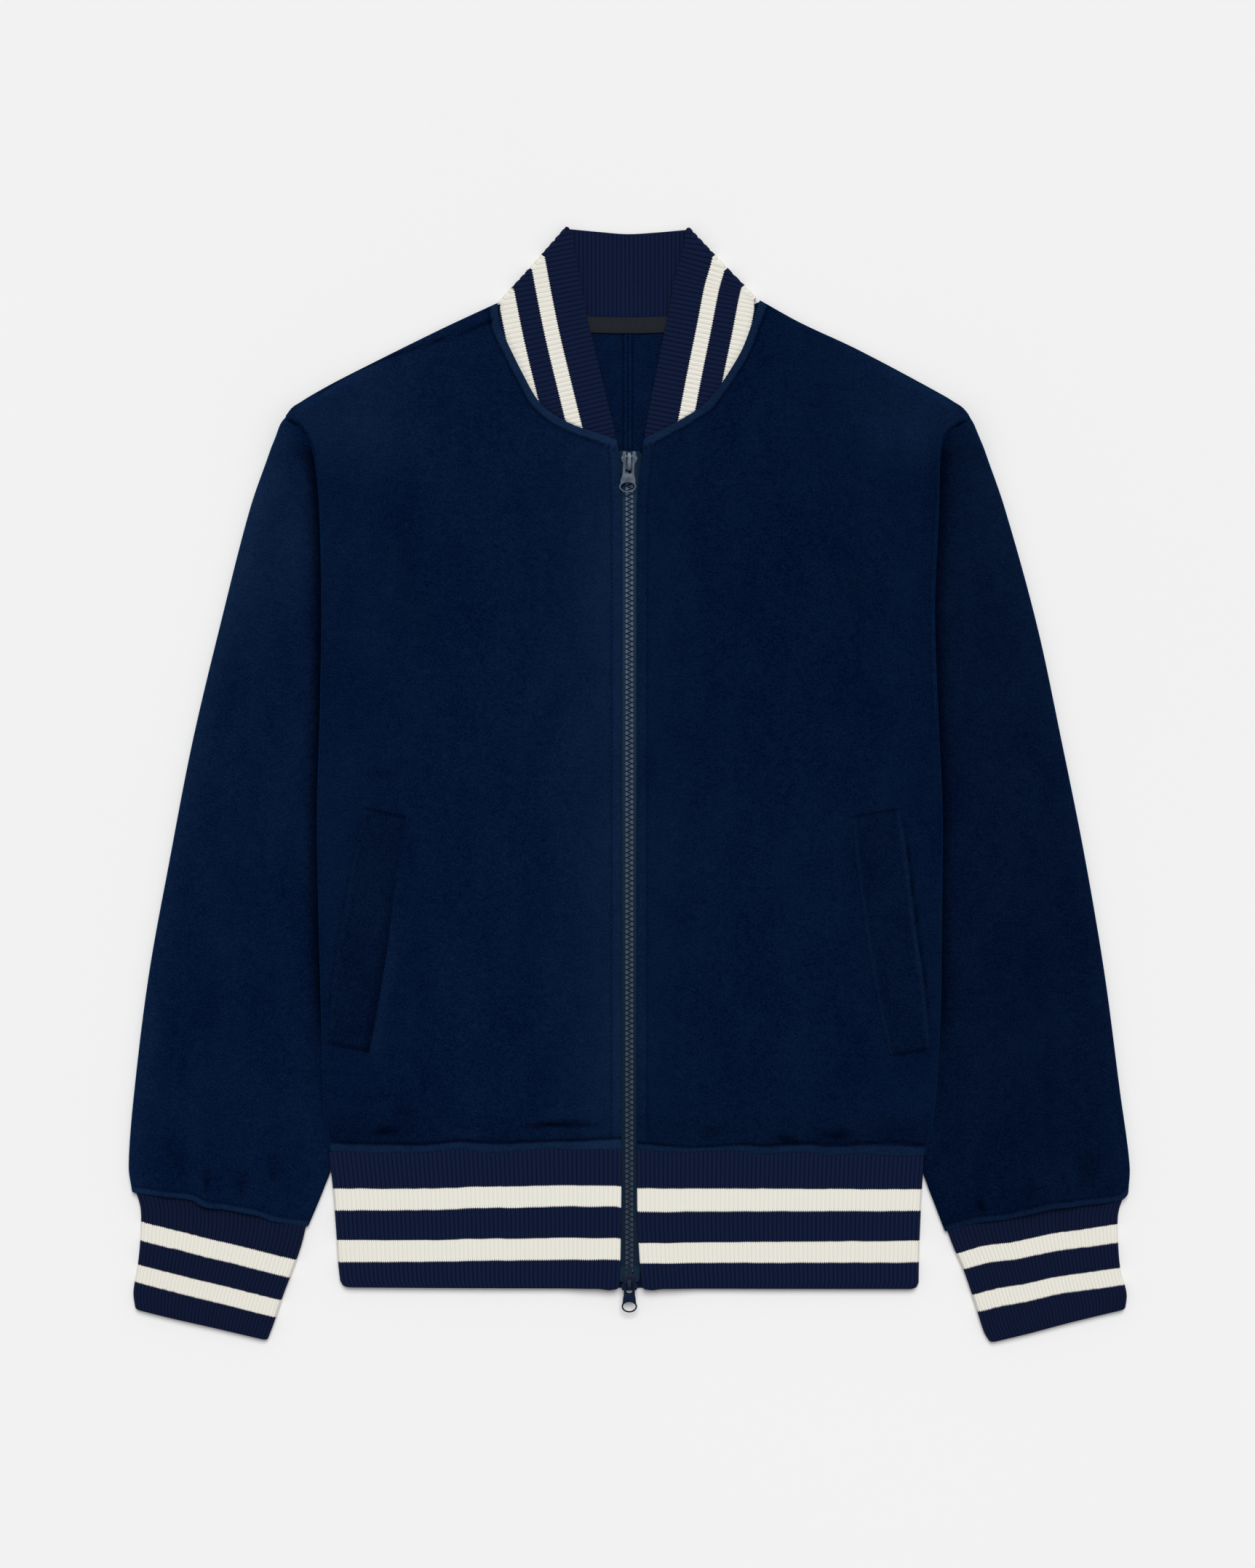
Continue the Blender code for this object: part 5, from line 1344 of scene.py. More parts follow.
def make_hem():
    """The hem band: one ribbed band round the body, open at the zip."""
    seam = hem_line(HEM_SEAM[0][0], HEM_SEAM[-1][0], 0.0)
    length = Line(HEM_LEFT).length
    plan = with_corners(patch(seam, Line(HEM_END), Line(HEM_LEFT), Line(HEM_RIGHT)), length, 4.5)
    v = marks(length, 3.1, RIM_MARKS, RIM_MARKS) / length

    def split(v, left, right):
        y = plan(np.full_like(v, 0.5), v)[..., 1]
        wide = (right - left)[:, :1]
        return tuple((column(ZIP_EDGE, place, y) - left[:, :1]) / wide for place in (1, 2))

    def top(x, y):
        swell = 0.25 * ripple(x, y, 40.0, 12.0)
        return FRONT_FLOOR + RIB_KNIT + 0.6 + zip_raise(x) + swell * ease((np.abs(x) - 8.0) / 12.0)

    runs = rib_runs(seam.length, HEM_RIB)
    outer, inner, u, number = tube(plan, v, RIB_KNIT, HEM_FOLD, top, runs, RIB_DEPTH, split)
    zip_gap = np.full(u.shape, FAR)
    half = len(runs[0][0])
    for columns, opening in ((slice(0, half), 0), (slice(-half, None), -1)):
        zip_gap[:, columns] = np.abs(outer[:, columns, 0] - outer[:, opening, 0][:, None])
    outer, inner = rounded(outer, inner, np.minimum(from_ends(v, length)[:, None], zip_gap))
    by_end = ease((v[:, None] * length - length + 9.0) / 8.0)
    curl = (corner_inset(zip_gap, 2.2) - 0.9 * bell(zip_gap - 7.0, 4.5)) * by_end
    outer[..., 1] += curl
    inner[..., 1] += curl
    down = np.broadcast_to(v[:, None], u.shape)
    level = np.array(HEM_LEVEL)
    above = seam_y(outer[..., 0]) - np.interp(outer[..., 0], level[:, 0], level[:, 1])
    reach = stripe_place(HEM_STRIPES, HEM_STRIPE_EDGES, u, down, length, above)
    skin = rib_knit("rib knit hem", HEM_STRIPE_EDGES, 0.9, 1.1, 0.16)
    piece = wall("hem_band", outer, inner, False, skin, cloth_values(number, reach, 1.0))
    settle(piece, "rib_knit", "hem_band")


def make_collar():
    """The collar: one ribbed band, its wings over its back part, open at the zip."""
    lines, outward, wings = {}, {}, {}
    for side in (-1, 1):
        line = Line(COLLAR_SIDE[side])
        way = line(1.0) - line(0.0)
        way = way / np.linalg.norm(way)
        outward[side] = np.array([side * abs(way[1]), abs(way[0])])
        inset = Line(line.knots - outward[side] * COLLAR_FOLD)
        neck = beside(NECK_FRONT[side][:-1], -side * 1.0)
        seam = Line([tuple(point) for point in neck] + [tuple(inset(0.0))])
        free = Line(WING_EDGE[side] + [tuple(inset(1.0))])
        wings[side] = (patch(seam, free, Line([seam(0.0), free(0.0)]), inset), free)
        lines[side] = (line, inset)
    seam_points = [tuple(lines[-1][1](0.0))] + NECK_BACK[-1][1:] + NECK_BACK[1][-2:0:-1]
    seam = Line(seam_points + [tuple(lines[1][1](0.0))])
    free = Line([tuple(lines[-1][1](1.0))] + COLLAR_BACK_EDGE + [tuple(lines[1][1](1.0))])
    back = patch(seam, free, lines[-1][1], lines[1][1])

    v = (marks(COLLAR_HIGH, 1.2, RIM_MARKS, RIM_MARKS) / COLLAR_HIGH)[:, None]
    wing_long = wings[-1][1].length
    wing_share = marks(wing_long, 0.68, RIM_MARKS, (0.0,))[None, :] / wing_long
    back_share = np.linspace(0.0, 1.0, 240)[None, :]
    turn = np.linspace(0.0, 1.0, 8)[1:-1]
    floor = WING_FLOOR + WING_STAND * v
    crown = floor + RIB_KNIT + 0.6

    def wing(side):
        plan, free_line = wings[side]
        at = plan(wing_share, v)
        reach, along = nearest_on(at[..., 0], at[..., 1], free_line, past_ends=True)
        number = along / WING_RIB + 0.12 * ripple(along, 0.0 * along, 9.0, 25.0)
        at[..., 0] += side * -0.6 * (rib_crest(number) - 0.5) * ease((v - 0.9) / 0.1)
        sink = COLLAR_DEPTH * (1.0 - rib_crest(number)) + 1.2 * (1.0 - ease(v * COLLAR_HIGH / 5.0))
        swell = 0.25 * ripple(at[..., 0], at[..., 1], 24.0, 15.0 + side)
        return at_height(at, crown - sink + swell), at_height(at, floor + 0.0 * wing_share), number, reach

    def fold(side, number, reach):
        number, reach = np.broadcast_arrays(number[:, -1:], reach[:, -1:], np.zeros((1, len(turn))))[:2]
        edge, way = lines[side][0](v[:, 0]), outward[side][None, :]
        run = (turn, turn, rib_crest(number))
        layers = fold_run(edge, way, crown[:, 0], COLLAR_FOLD, RIB_KNIT, run, COLLAR_DEPTH)
        return *layers, number, reach

    def plain_back(reach_left, reach_right):
        at = back(back_share, v)
        number = at[..., 0] / BACK_RIB
        sink = 1.0 - rib_crest(number)
        inside = RIB_KNIT + 0.35 - 0.6 * sink + 0.3 * ripple(at[..., 0], at[..., 1], 30.0, 21.0)
        reach = reach_left[:, -1:] * (1.0 - back_share) + reach_right[:, -1:] * back_share
        return at_height(at, 0.5 * sink), at_height(at, inside), number, reach

    left, right = wing(-1), wing(1)
    runs = [left, fold(-1, *left[2:]), plain_back(left[3], right[3])]
    runs += [[part[:, ::-1] for part in run] for run in (fold(1, *right[2:]), right)]
    outer, inner, number, reach = (np.concatenate([run[k] for run in runs], axis=1) for k in range(4))
    edge_gap = from_ends(v, COLLAR_HIGH) + 0.0 * number
    for opening, columns in ((0, slice(0, 60)), (-1, slice(-60, None))):
        steps = np.linalg.norm(outer[:, columns, :2] - outer[:, opening, None, :2], axis=-1)
        edge_gap[:, columns] = np.minimum(edge_gap[:, columns], steps)
    outer, inner = rounded(outer, inner, edge_gap)
    skin = rib_knit("rib knit collar", COLLAR_STRIPE_EDGES, 0.9, 0.9, 0.42)
    striped, plain = cloth_values(number, reach, 1.0), cloth_values(number, reach, 0.0)
    piece = wall("collar", outer, inner, False, skin, striped, plain)
    settle(piece, "rib_knit", "collar")


def make_neck_tape():
    """The tape over the back neck seam, its ends under the wings."""
    share = np.linspace(0.0, 1.0, 60)
    at = Line(NECK_TAPE)(share)[None]
    offset = np.array((-5.5, -5.3, -4.8, -4.1, -3.0, -1.0, 1.0, 3.0, 4.1, 4.8, 5.3, 5.5))[:, None]
    plan = np.stack([at[..., 0] + 0.0 * offset, at[..., 1] + offset], axis=-1)
    swell = 0.25 * bell(offset, 4.0) - 0.2 * bell(np.abs(offset) - 4.4, 0.4)
    wave = 0.12 * ripple(plan[..., 0], plan[..., 1], 9.0, 31.0)
    top = NECK_TAPE_Z + 0.85 + swell + wave
    gap = offset[-1] - np.abs(offset) + 0.0 * share
    outer, inner = rounded(at_height(plan, top), at_height(plan, NECK_TAPE_Z), gap * 2.2)
    skin = woven("neck tape weave", colours().neck_tape, 700.0, 700.0)
    piece = wall("neck_tape", outer, inner, False, skin, 0.0 * outer)
    settle(piece, "woven_tape", "neck_tape")


def make_welt(side, word):
    """One pocket welt, pressed on its front, its opening on the outer side."""
    inner_line, outer_line = Line(WELT_INNER[side]), Line(WELT_OUTER[side])
    length = inner_line.length
    share = (marks(length, 2.2, RIM_MARKS, RIM_MARKS) / length)[:, None]
    across = (marks(WELT_WIDE, 2.0, RIM_MARKS, RIM_MARKS) / WELT_WIDE)[None, :]
    plan = inner_line(share) * (1.0 - across[..., None]) + outer_line(share) * across[..., None]
    x, y = plan[..., 0], plan[..., 1]
    low = lay_height(x, y) + FLEECE
    gap_end = from_ends(share, length)
    rise = 1.5 - 1.0 * np.exp(-gap_end / 1.8) - 0.9 * np.exp(-across * WELT_WIDE / 2.2)
    groove = 0.45 * bell(gap_end - WELT_STITCH, 0.8)
    open_lip = 0.5 * bell((1.0 - across) * WELT_WIDE, 3.0) * np.sin(math.pi * share) ** 0.5
    top = low + rise + open_lip + 0.25 * nap(x, y, 9.0 + side) - groove
    gap = np.minimum(from_ends(across, WELT_WIDE), gap_end)
    outer, inner = rounded(at_height(plan, top), at_height(plan, low + 0.12), gap)
    from_inner = across * WELT_WIDE
    # Painted light on the welt's lips; painted shade in the stitch grooves and along the left welt's inner
    # side
    inner_lip, outer_lip = bell(from_inner - 1.2, 0.9), bell(WELT_WIDE - from_inner - 1.4, 0.9)
    shade = 0.55 * bell(from_inner, 4.0) * ease((-55.0 - y) / 70.0) * (side < 0)
    lip = (0.3 * inner_lip + 0.35 * outer_lip) * (side > 0) + 0.15 * outer_lip * (side < 0)
    values = cloth_values(lip + 0.0 * x, np.clip(1.9 * groove + shade, 0.0, 1.0) + 0.0 * x, 0.0 * x)
    name = "pocket_welt_" + word
    skin = fleece("fleece welts", colours().dark_welt)
    piece = wall(name, outer, inner, False, skin, values)
    settle(piece, "fleece", name)


def extruded(loops, low, high, bevel, segments=2):
    """A bevelled upright plate as points and faces; the first loop is its outline, the rest are holes."""
    work = bmesh.new()
    edges = []
    for loop in loops:
        corners = [work.verts.new((x, y, low)) for x, y in loop]
        edges += [work.edges.new(pair) for pair in zip(corners, corners[1:] + corners[:1])]
    filled = bmesh.ops.triangle_fill(work, use_beauty=True, edges=edges)
    faces = [item for item in filled["geom"] if isinstance(item, bmesh.types.BMFace)]
    bmesh.ops.dissolve_limit(work, angle_limit=0.01, verts=work.verts[:], edges=work.edges[:])
    faces = work.faces[:]
    raised = bmesh.ops.extrude_face_region(work, geom=faces, use_keep_orig=True)
    corners = [item for item in raised["geom"] if isinstance(item, bmesh.types.BMVert)]
    bmesh.ops.translate(work, vec=(0.0, 0.0, high - low), verts=corners)
    bmesh.ops.recalc_face_normals(work, faces=work.faces)
    if bevel:
        level = [edge for edge in work.edges
                 if edge.calc_face_angle(0.0) > 1.0 and abs(edge.verts[0].co.z - edge.verts[1].co.z) < 1e-6]
        bmesh.ops.bevel(work, geom=level, offset=bevel, segments=segments, profile=0.6, affect="EDGES")
    bmesh.ops.triangulate(work, faces=[face for face in work.faces if len(face.verts) > 4])
    work.verts.index_update()
    points = np.array([tuple(corner.co) for corner in work.verts])
    faces = [tuple(corner.index for corner in face.verts) for face in work.faces]
    work.free()
    return points, faces


def joined(parts):
    """Join parts of points and faces into one."""
    points, faces, count = [], [], 0
    for part_points, part_faces in parts:
        points.append(part_points)
        faces += [tuple(corner + count for corner in face) for face in part_faces]
        count += len(part_points)
    return np.concatenate(points), faces


def solid(name, parts, finish, sharp=42.0):
    """One mesh of several closed parts, with its hard edges kept."""
    points, faces = joined(parts)
    piece = new_mesh(name + "_moulded", points, faces, finish)
    piece.data.set_sharp_from_angle(angle=math.radians(sharp))
    return piece


def ring_loop(x, y, half_x, half_y, steps, start=0.0, turn=math.tau):
    """Points on an ellipse, or on an arc of one."""
    count = steps if turn == math.tau else steps + 1
    angles = start + turn * np.arange(count) / steps
    return [(x + half_x * math.cos(angle), y + half_y * math.sin(angle)) for angle in angles]


def box_loop(x_low, x_high, y_low, y_high):
    """A rectangle as an outline."""
    return [(x_low, y_low), (x_high, y_low), (x_high, y_high), (x_low, y_high)]


def plastic(kind):
    """One of the moulded plastics: body, painted edge highlight, gloss and gleam of each."""
    given = colours()
    name, *values = {
        "bottom": ("moulded plastic dark", given.bottom_slider, given.bottom_edge_highlight, 0.34, 0.05),
        "film": ("moulded plastic film", given.film, given.film, 0.5, 0.03),
        "teeth": ("moulded plastic teeth", given.teeth, given.teeth_edge_highlight, 0.3, 0.12),
        "top": ("moulded plastic grey", given.top_slider, given.top_edge_highlight, 0.28, 0.16),
    }[kind]
    return moulded(name, *values)


def make_tape(side, word):
    """One zip tape, with the cord along its edge that the teeth grip."""
    x = np.array((0.2, 0.3, 1.0, 1.5, 2.0, 2.3, 2.6, 3.4, 4.4, 5.4, 7.0, 9.0, 10.6, 11.2, 11.5))[None, :]
    y = np.linspace(TAPE_TOP, TAPE_FOOT, 190)[:, None]
    share = (TAPE_TOP - y) / (TAPE_TOP - TAPE_FOOT)
    y_low = TAPE_FOOT + np.clip((x - 7.4) / 4.1, 0.0, 1.0) * 5.0
    y_high = TAPE_TOP - 2.6 * np.clip(x - 7.6, 0.0, 4.0)
    grid_y = y_high + (y_low - y_high) * share
    cord = 0.55 * bell(x - 1.5, 0.5)
    wave = 0.12 * np.sin(grid_y / 3.1) * bell(x - 4.2, 1.2)
    thin = 0.35 - 0.3 * np.clip((x - 11.0) / 0.5, 0.0, 1.0)
    plan = np.stack([side * x + 0.0 * grid_y, grid_y], axis=-1)
    outer, inner = at_height(plan, TAPE_Z + thin + cord + wave), at_height(plan, TAPE_Z - thin - cord)
    skin = woven("zip tape weave", colours().zip_tape, 900.0, 800.0)
    name = "zip_tape_" + word
    # Painted light: a lighter strip beside the chain, where the fronts' edges do not shade the tape, fading
    # towards the foot
    with_painted_light = bell(x - 3.6, 1.3) * ease((grid_y + 260.0) / 400.0)
    piece = wall(name, outer, inner, False, skin, cloth_values(with_painted_light, 0.0, 0.0))
    settle(piece, "woven_tape", name)


def make_teeth(side, word):
    """One row of moulded teeth, each a waisted block that reaches past the middle."""
    half = [(2.8, 1.1), (2.35, 1.35), (1.25, 1.2), (0.85, 0.8), (0.55, 0.4), (-0.15, 0.5), (-0.55, 0.32)]
    loop = [(2.8, -1.1)] + half + [(x, -y) for x, y in half[:0:-1]]
    points, faces = extruded([[(side * x, y) for x, y in loop]], *TOOTH_Z, 0.22, 1)
    high = points[:, 2] > 5.4
    points[high, 2] -= 0.45 * np.clip(0.9 - side * points[high, 0], 0.0, 1.0)
    points[high, 2] -= 0.3 * np.clip((side * points[high, 0] - 2.2) / 0.6, 0.0, 1.0)
    first = FIRST_TOOTH - (0.0 if side < 0 else TOOTH_PITCH / 2.0)
    parts = [(points + (0.0, y, 0.0), faces) for y in np.arange(first, LAST_TOOTH, -TOOTH_PITCH)]
    name = "zip_teeth_" + word
    settle(solid(name, parts, plastic("teeth"), 35.0), "moulded_plastic", name)


def mirrored(half):
    """An outline from its left half, from the lower to the upper end."""
    return half + [(-x, y) for x, y in half[::-1]]


def shifted(loop, dx, dy):
    """An outline moved by a step."""
    return [(x + dx, y + dy) for x, y in loop]


def upright_plate(loops, axis_y, half_wide, bevel):
    """A bevelled plate drawn in (y, z) and stood up along the zip."""
    points, faces = extruded(loops, -half_wide, half_wide, bevel)
    turned = np.stack([points[:, 2], points[:, 0] + axis_y, points[:, 1]], axis=1)
    return turned, faces


def make_slider(top):
    """A slider: two plates and a post round the teeth, with the bridge that holds the pull."""
    if top:
        name, axis_y = "slider_top", TOP_SLIDER_Y
        half = [(-3.0, -8.4), (-3.5, -7.2), (-3.7, -4.4), (-4.6, -3.6), (-5.2, -2.4), (-5.6, -0.8),
                (-5.5, -0.1), (-4.9, 0.3), (-1.9, 0.3), (-1.6, 0.7)]
        flank = [(-4.4, -3.8), (-3.9, -3.8), (-4.7, -0.2), (-5.4, -0.3), (-5.2, -2.3)]
        tail, post_y, half_wide = 9.6, -0.6, 1.15
    else:
        name, axis_y = "slider_bottom", BOTTOM_SLIDER_Y
        half = [(-3.4, -5.9), (-4.9, -5.6), (-5.5, -4.4), (-5.3, -1.6), (-4.4, -0.9), (-4.1, 0.6),
                (-4.0, 4.6), (-3.2, 5.6)]
        flank = [(-5.2, -5.0), (-4.6, -5.2), (-4.4, -1.4), (-5.2, -1.6)]
        tail, post_y, half_wide = 5.0, -4.6, 1.3
    loop = shifted(mirrored(half), 0.0, axis_y)
    low = [(x * 0.97, axis_y + (y - axis_y) * 0.97) for x, y in loop]
    crest, window = SLIDER_AXIS_Z + 2.2, 1.4
    profile = [
        (2.9, 7.6), (2.9, crest - 1.3), (2.5, crest - 0.5), (1.7, crest), (-tail / 2.0, crest),
        (-tail + 0.8, 9.8), (-tail, 8.6), (-tail, 7.6),
    ]
    hole = box_loop(-window, window, SLIDER_AXIS_Z - window, SLIDER_AXIS_Z + window)
    post = shifted(box_loop(-1.3, 1.3, -0.9, 0.9), 0.0, axis_y + post_y)
    parts = [
        extruded([loop], *UPPER_PLATE, 0.32), extruded([low], *LOWER_PLATE, 0.3),
        extruded([post], 3.7, 7.1, 0.0), upright_plate([profile, hole], axis_y, half_wide, 0.3),
    ]
    for side in (-1, 1):
        rail = [(side * x, y + axis_y) for x, y in flank]
        parts.append(extruded([rail], 4.6, 7.2, 0.12))
    settle(solid(name, parts, plastic("top" if top else "bottom")), "moulded_plastic", name)


def make_stops():
    """The two top stops, and the box and the film over the tape at the zip's foot."""
    parts = []
    for side in (-1, 1):
        loop = [(1.5, 224.6), (5.0, 224.6), (4.7, 227.0), (4.2, 229.1), (2.4, 229.2), (1.9, 227.2)]
        parts.append(extruded([[(side * x, y) for x, y in loop]], 4.6, 6.9, 0.3))
    stops = solid("zip_stops", parts, plastic("teeth"))
    settle(stops, "moulded_plastic", "zip_teeth_left", "zip_teeth_right")
    foot = [extruded([box_loop(-2.0, 2.0, -337.2, -331.4)], 4.0, 6.75, 0.35)]
    for side in (-1, 1):
        film = [(2.9, -331.0), (7.0, -331.0), (7.1, -339.0), (6.2, -341.6), (2.9, -342.0)]
        foot.append(extruded([[(side * x, y) for x, y in film]], 5.72, 5.98, 0.0))
    box = solid("zip_foot", foot, plastic("film"))
    settle(box, "moulded_plastic", "zip_teeth_left", "zip_teeth_right")


def make_pull(top):
    """A pull tab with its cross bar on the hinge axis."""
    if top:
        name, axis_y, reach, slot_end = "pull_top", TOP_SLIDER_Y, 24.6, -11.9
        half_x, half_y, rim, droop = 5.8, 4.0, 1.0, 0.0
    else:
        name, axis_y, reach, slot_end = "pull_bottom", BOTTOM_SLIDER_Y, 21.4, -7.6
        half_x, half_y, rim, droop = 5.3, 4.3, 1.0, math.radians(10.0)
    centre = -(reach - half_y)
    arc = ring_loop(0.0, centre, half_x, half_y, 28, math.radians(152.0), math.radians(236.0))
    if top:
        half = [(-2.9, 0.75), (-3.1, 0.2), (-3.2, -3.2), (-3.8, -4.3), (-3.9, -6.5), (-4.0, -9.5),
                (-4.0, -12.0), (-4.5, -14.4), (-5.1, -15.8)]
    else:
        half = [(-2.9, 0.75), (-3.1, 0.2), (-3.1, -2.6), (-3.7, -4.6), (-3.8, -7.0), (-3.9, -9.2),
                (-4.3, -11.0)]
    outline = half + arc + [(-x, y) for x, y in half[::-1]]
    hole = ring_loop(0.0, centre - 0.1, half_x - rim, half_y - rim, 26)[::-1]
    slot = [(-2.0, -0.75), (-2.0, slot_end + 0.8), (-1.3, slot_end + 0.2), (-0.6, slot_end), (0.6, slot_end),
            (1.3, slot_end + 0.2), (2.0, slot_end + 0.8), (2.0, -0.75)]
    points, faces = extruded([outline, hole, slot], -PULL_HALF, PULL_HALF, 0.4)
    near = np.clip((points[:, 1] - slot_end) / 3.0 + 1.0, 0.0, 1.0)
    points[:, 2] *= 1.0 - 0.12 * near
    level, tilt = math.cos(droop), math.sin(droop)
    y, z = points[:, 1] * level - points[:, 2] * tilt, points[:, 1] * tilt + points[:, 2] * level
    if top:
        points[:, 0] += 0.055 * np.minimum(y, 0.0)
    points[:, 1], points[:, 2] = y + axis_y, z + SLIDER_AXIS_Z
    piece = solid(name, [(points, faces)], plastic("top" if top else "bottom"))
    settle(piece, "moulded_plastic", name, body=name)


def surface_of(piece):
    """A lookup of the height of a piece's top at a place, in millimetres."""
    points = [tuple(corner.co / MM) for corner in piece.data.vertices]
    tree = BVHTree.FromPolygons(points, [tuple(face.vertices) for face in piece.data.polygons])

    def height(x, y):
        hit = tree.ray_cast(Vector((x, y, 60.0)), Vector((0.0, 0.0, -1.0)))[0]
        return None if hit is None else hit.z

    return height


def stitch_part(start, end, radius, sink):
    """One stitch: a thread that dips into the cloth at both its ends."""
    along = np.array(end) - np.array(start)
    across = np.array([-along[1], along[0], 0.0])
    across /= np.linalg.norm(across)
    up = np.array([0.0, 0.0, 1.0])
    rings = (
        (0.0, -sink, 0.35), (0.14, -0.15 * sink, 0.85), (0.5, 0.1, 1.0), (0.86, -0.15 * sink, 0.85),
        (1.0, -sink, 0.35),
    )
    turns = np.arange(6) * math.tau / 6.0
    points = []
    for share, lift, thick in rings:
        middle = np.array(start) + along * share + up * lift
        for turn in turns:
            points.append(middle + radius * thick * (across * math.cos(turn) + up * 0.8 * math.sin(turn)))
    faces = []
    for ring in range(len(rings) - 1):
        for k in range(6):
            a, b = ring * 6 + k, ring * 6 + (k + 1) % 6
            faces.append((a, b, b + 6, a + 6))
    faces += [tuple(range(5, -1, -1)), tuple(range(24, 30))]
    return np.array(points), faces


def stitch_row(line, height, start=0.0, end=1.0):
    """Stitches along a line that lies on a surface."""
    given = bpy.context.scene.jacket_stitches
    long, gap, radius = (value / MM for value in (given.length, given.gap, given.thread / 2.0))
    count = int(line.length * (end - start) / (long + gap))
    parts = []
    for i in range(count):
        first = start + (end - start) * i / count
        last = first + long / line.length
        a, b = line(first), line(last)
        high_a, high_b = height(*a), height(*b)
        if high_a is None or high_b is None or abs(high_a - high_b) > 1.2:
            continue
        ends = (*a, high_a + given.stand / MM), (*b, high_b + given.stand / MM)
        parts.append(stitch_part(*ends, radius, 0.55))
    return parts


def inside_line(line, distance):
    """A line beside a curve, at a distance to its left where positive."""
    return Line(beside(line(np.linspace(0.0, 1.0, 60)), distance))


def line_at(x, y):
    """A curve through points given by their x and their y."""
    return Line(np.stack(np.broadcast_arrays(x, y), axis=1))


def sew(name, parts, skin):
    """Make one piece of all the stitches that a panel holds."""
    points, faces = joined(parts)
    settle(new_mesh("stitches_" + name, points, faces, skin), "woven_tape")


def make_stitching():
    """All rows of stitches, one piece for each panel that they hold."""
    find = bpy.data.objects
    skin = woven("sewing thread", colours().thread, THREAD_YARNS, THREAD_YARNS)
    for side, word, place in sides():
        front = surface_of(find["front_" + word + "_cloth"])
        parts = stitch_row(inside_line(Line(NECK_FRONT[side]), side * NECK_STITCH), front, 0.05, 0.97)
        y = np.linspace(229.0, -244.0, 80)
        parts += stitch_row(line_at(column(ZIP_EDGE, place, y) + side * ZIP_BAND, y), front)
        far = side_points(BODY_EDGE, side)[-1][0] - side * 3.0
        near = column(ZIP_EDGE, place, -246.0) + side * 6.0
        x = np.linspace(near, far, 60)
        parts += stitch_row(line_at(x, hem_stitch_y(x)), front)
        if side > 0:
            y = np.linspace(238.0, 52.0, 40)
            for inward in ARMHOLE_ROWS:
                parts += stitch_row(line_at(column(BODY_EDGE, 2, y) - inward, y), front)
        sew("front_" + word, parts, skin)
        welt = surface_of(find["pocket_welt_" + word + "_cloth"])
        inner, outer = Line(WELT_INNER[side]), Line(WELT_OUTER[side])
        parts = []
        for share in (WELT_STITCH / inner.length, 1.0 - WELT_STITCH / inner.length):
            near, far = inner(share), outer(share)
            parts += stitch_row(Line([near + (far - near) * 0.05, near + (far - near) * 0.95]), welt)
        sew("welt_" + word, parts, skin)
        # Only the left sleeve has this row
        if side < 0:
            sleeve = surface_of(find["sleeve_" + word + "_cloth"])
            row = inside_line(Line(CUFF_SEAM[side]), CUFF_STITCH)
            sew("sleeve_" + word, stitch_row(row, sleeve, 0.02, 0.98), skin)
    parts = []
    for side, word, place in sides():
        x = CENTRE_BACK + side * 2.6
        parts += stitch_row(Line([(x, 306.0), (x, 222.0)]), surface_of(find["back_" + word + "_cloth"]))
    sew("back", parts, skin)
    tape, line = surface_of(find["neck_tape_cloth"]), Line(NECK_TAPE)
    grey = woven("tape thread", [value * 1.25 for value in colours().neck_tape], THREAD_YARNS, THREAD_YARNS)
    parts = stitch_row(inside_line(line, -4.4), tape) + stitch_row(inside_line(line, 4.4), tape)
    sew("neck_tape", parts, grey)


def stage_finish():
    """The floor's even pale grey, with the faintest unevenness."""
    given = bpy.context.scene.jacket_stage
    finish, tree, shader = new_finish("pale floor", {"Roughness": 0.9, "Specular IOR Level": 0.0})
    shade = stretched(tree, grain(tree, place_of(tree), 1.3, 2.0), 0.3, 0.7, 0.995, 1.005)
    tree.links.new(scaled(tree, tuple(given.floor), shade), shader.inputs["Base Color"])
    return finish


def make_stage():
    """The floor, the light and the camera."""
    scene = bpy.context.scene
    given = scene.jacket_stage
    half = 3000.0
    corners = [(-half, -half, 0.0), (half, -half, 0.0), (half, half, 0.0), (-half, half, 0.0)]
    floor = new_mesh("floor", corners, [(0, 1, 2, 3)], stage_finish())
    floor.location.z = -0.05 * MM

    world = bpy.data.worlds.new("studio")
    world.use_nodes = True
    sky = world.node_tree.nodes["Background"]
    sky.inputs["Color"].default_value = (1.0, 1.0, 1.0, 1.0)
    sky.inputs["Strength"].default_value = given.fill
    scene.world = world

    lamp = bpy.data.lights.new("key", "SUN")
    lamp.energy = given.key
    lamp.angle = given.key_width
    key = bpy.data.objects.new("key", lamp)
    key.rotation_euler = given.key_turn
    scene.collection.objects.link(key)

    lens = bpy.data.cameras.new("camera")
    lens.lens = 85.0
    lens.sensor_width = 36.0
    lens.sensor_fit = "AUTO"
    lens.clip_end = 20.0
    camera = bpy.data.objects.new("camera", lens)
    camera.location = given.camera
    scene.collection.objects.link(camera)
    scene.camera = camera
    scene.view_settings.view_transform = "Standard"


def colour(name, description, value):
    """A colour setting."""
    return FloatVectorProperty(
        name=name, description=description, default=value, subtype="COLOR", size=3, min=0.0, max=1.0)


def share_setting(name, description, value):
    """A setting from 0 to 2, as a share."""
    return FloatProperty(
        name=name, description=description, default=value, min=0.0, max=2.0, subtype="FACTOR")


def length_setting(name, description, value):
    """A setting in metres."""
    return FloatProperty(name=name, description=description, default=value, unit="LENGTH", precision=5)


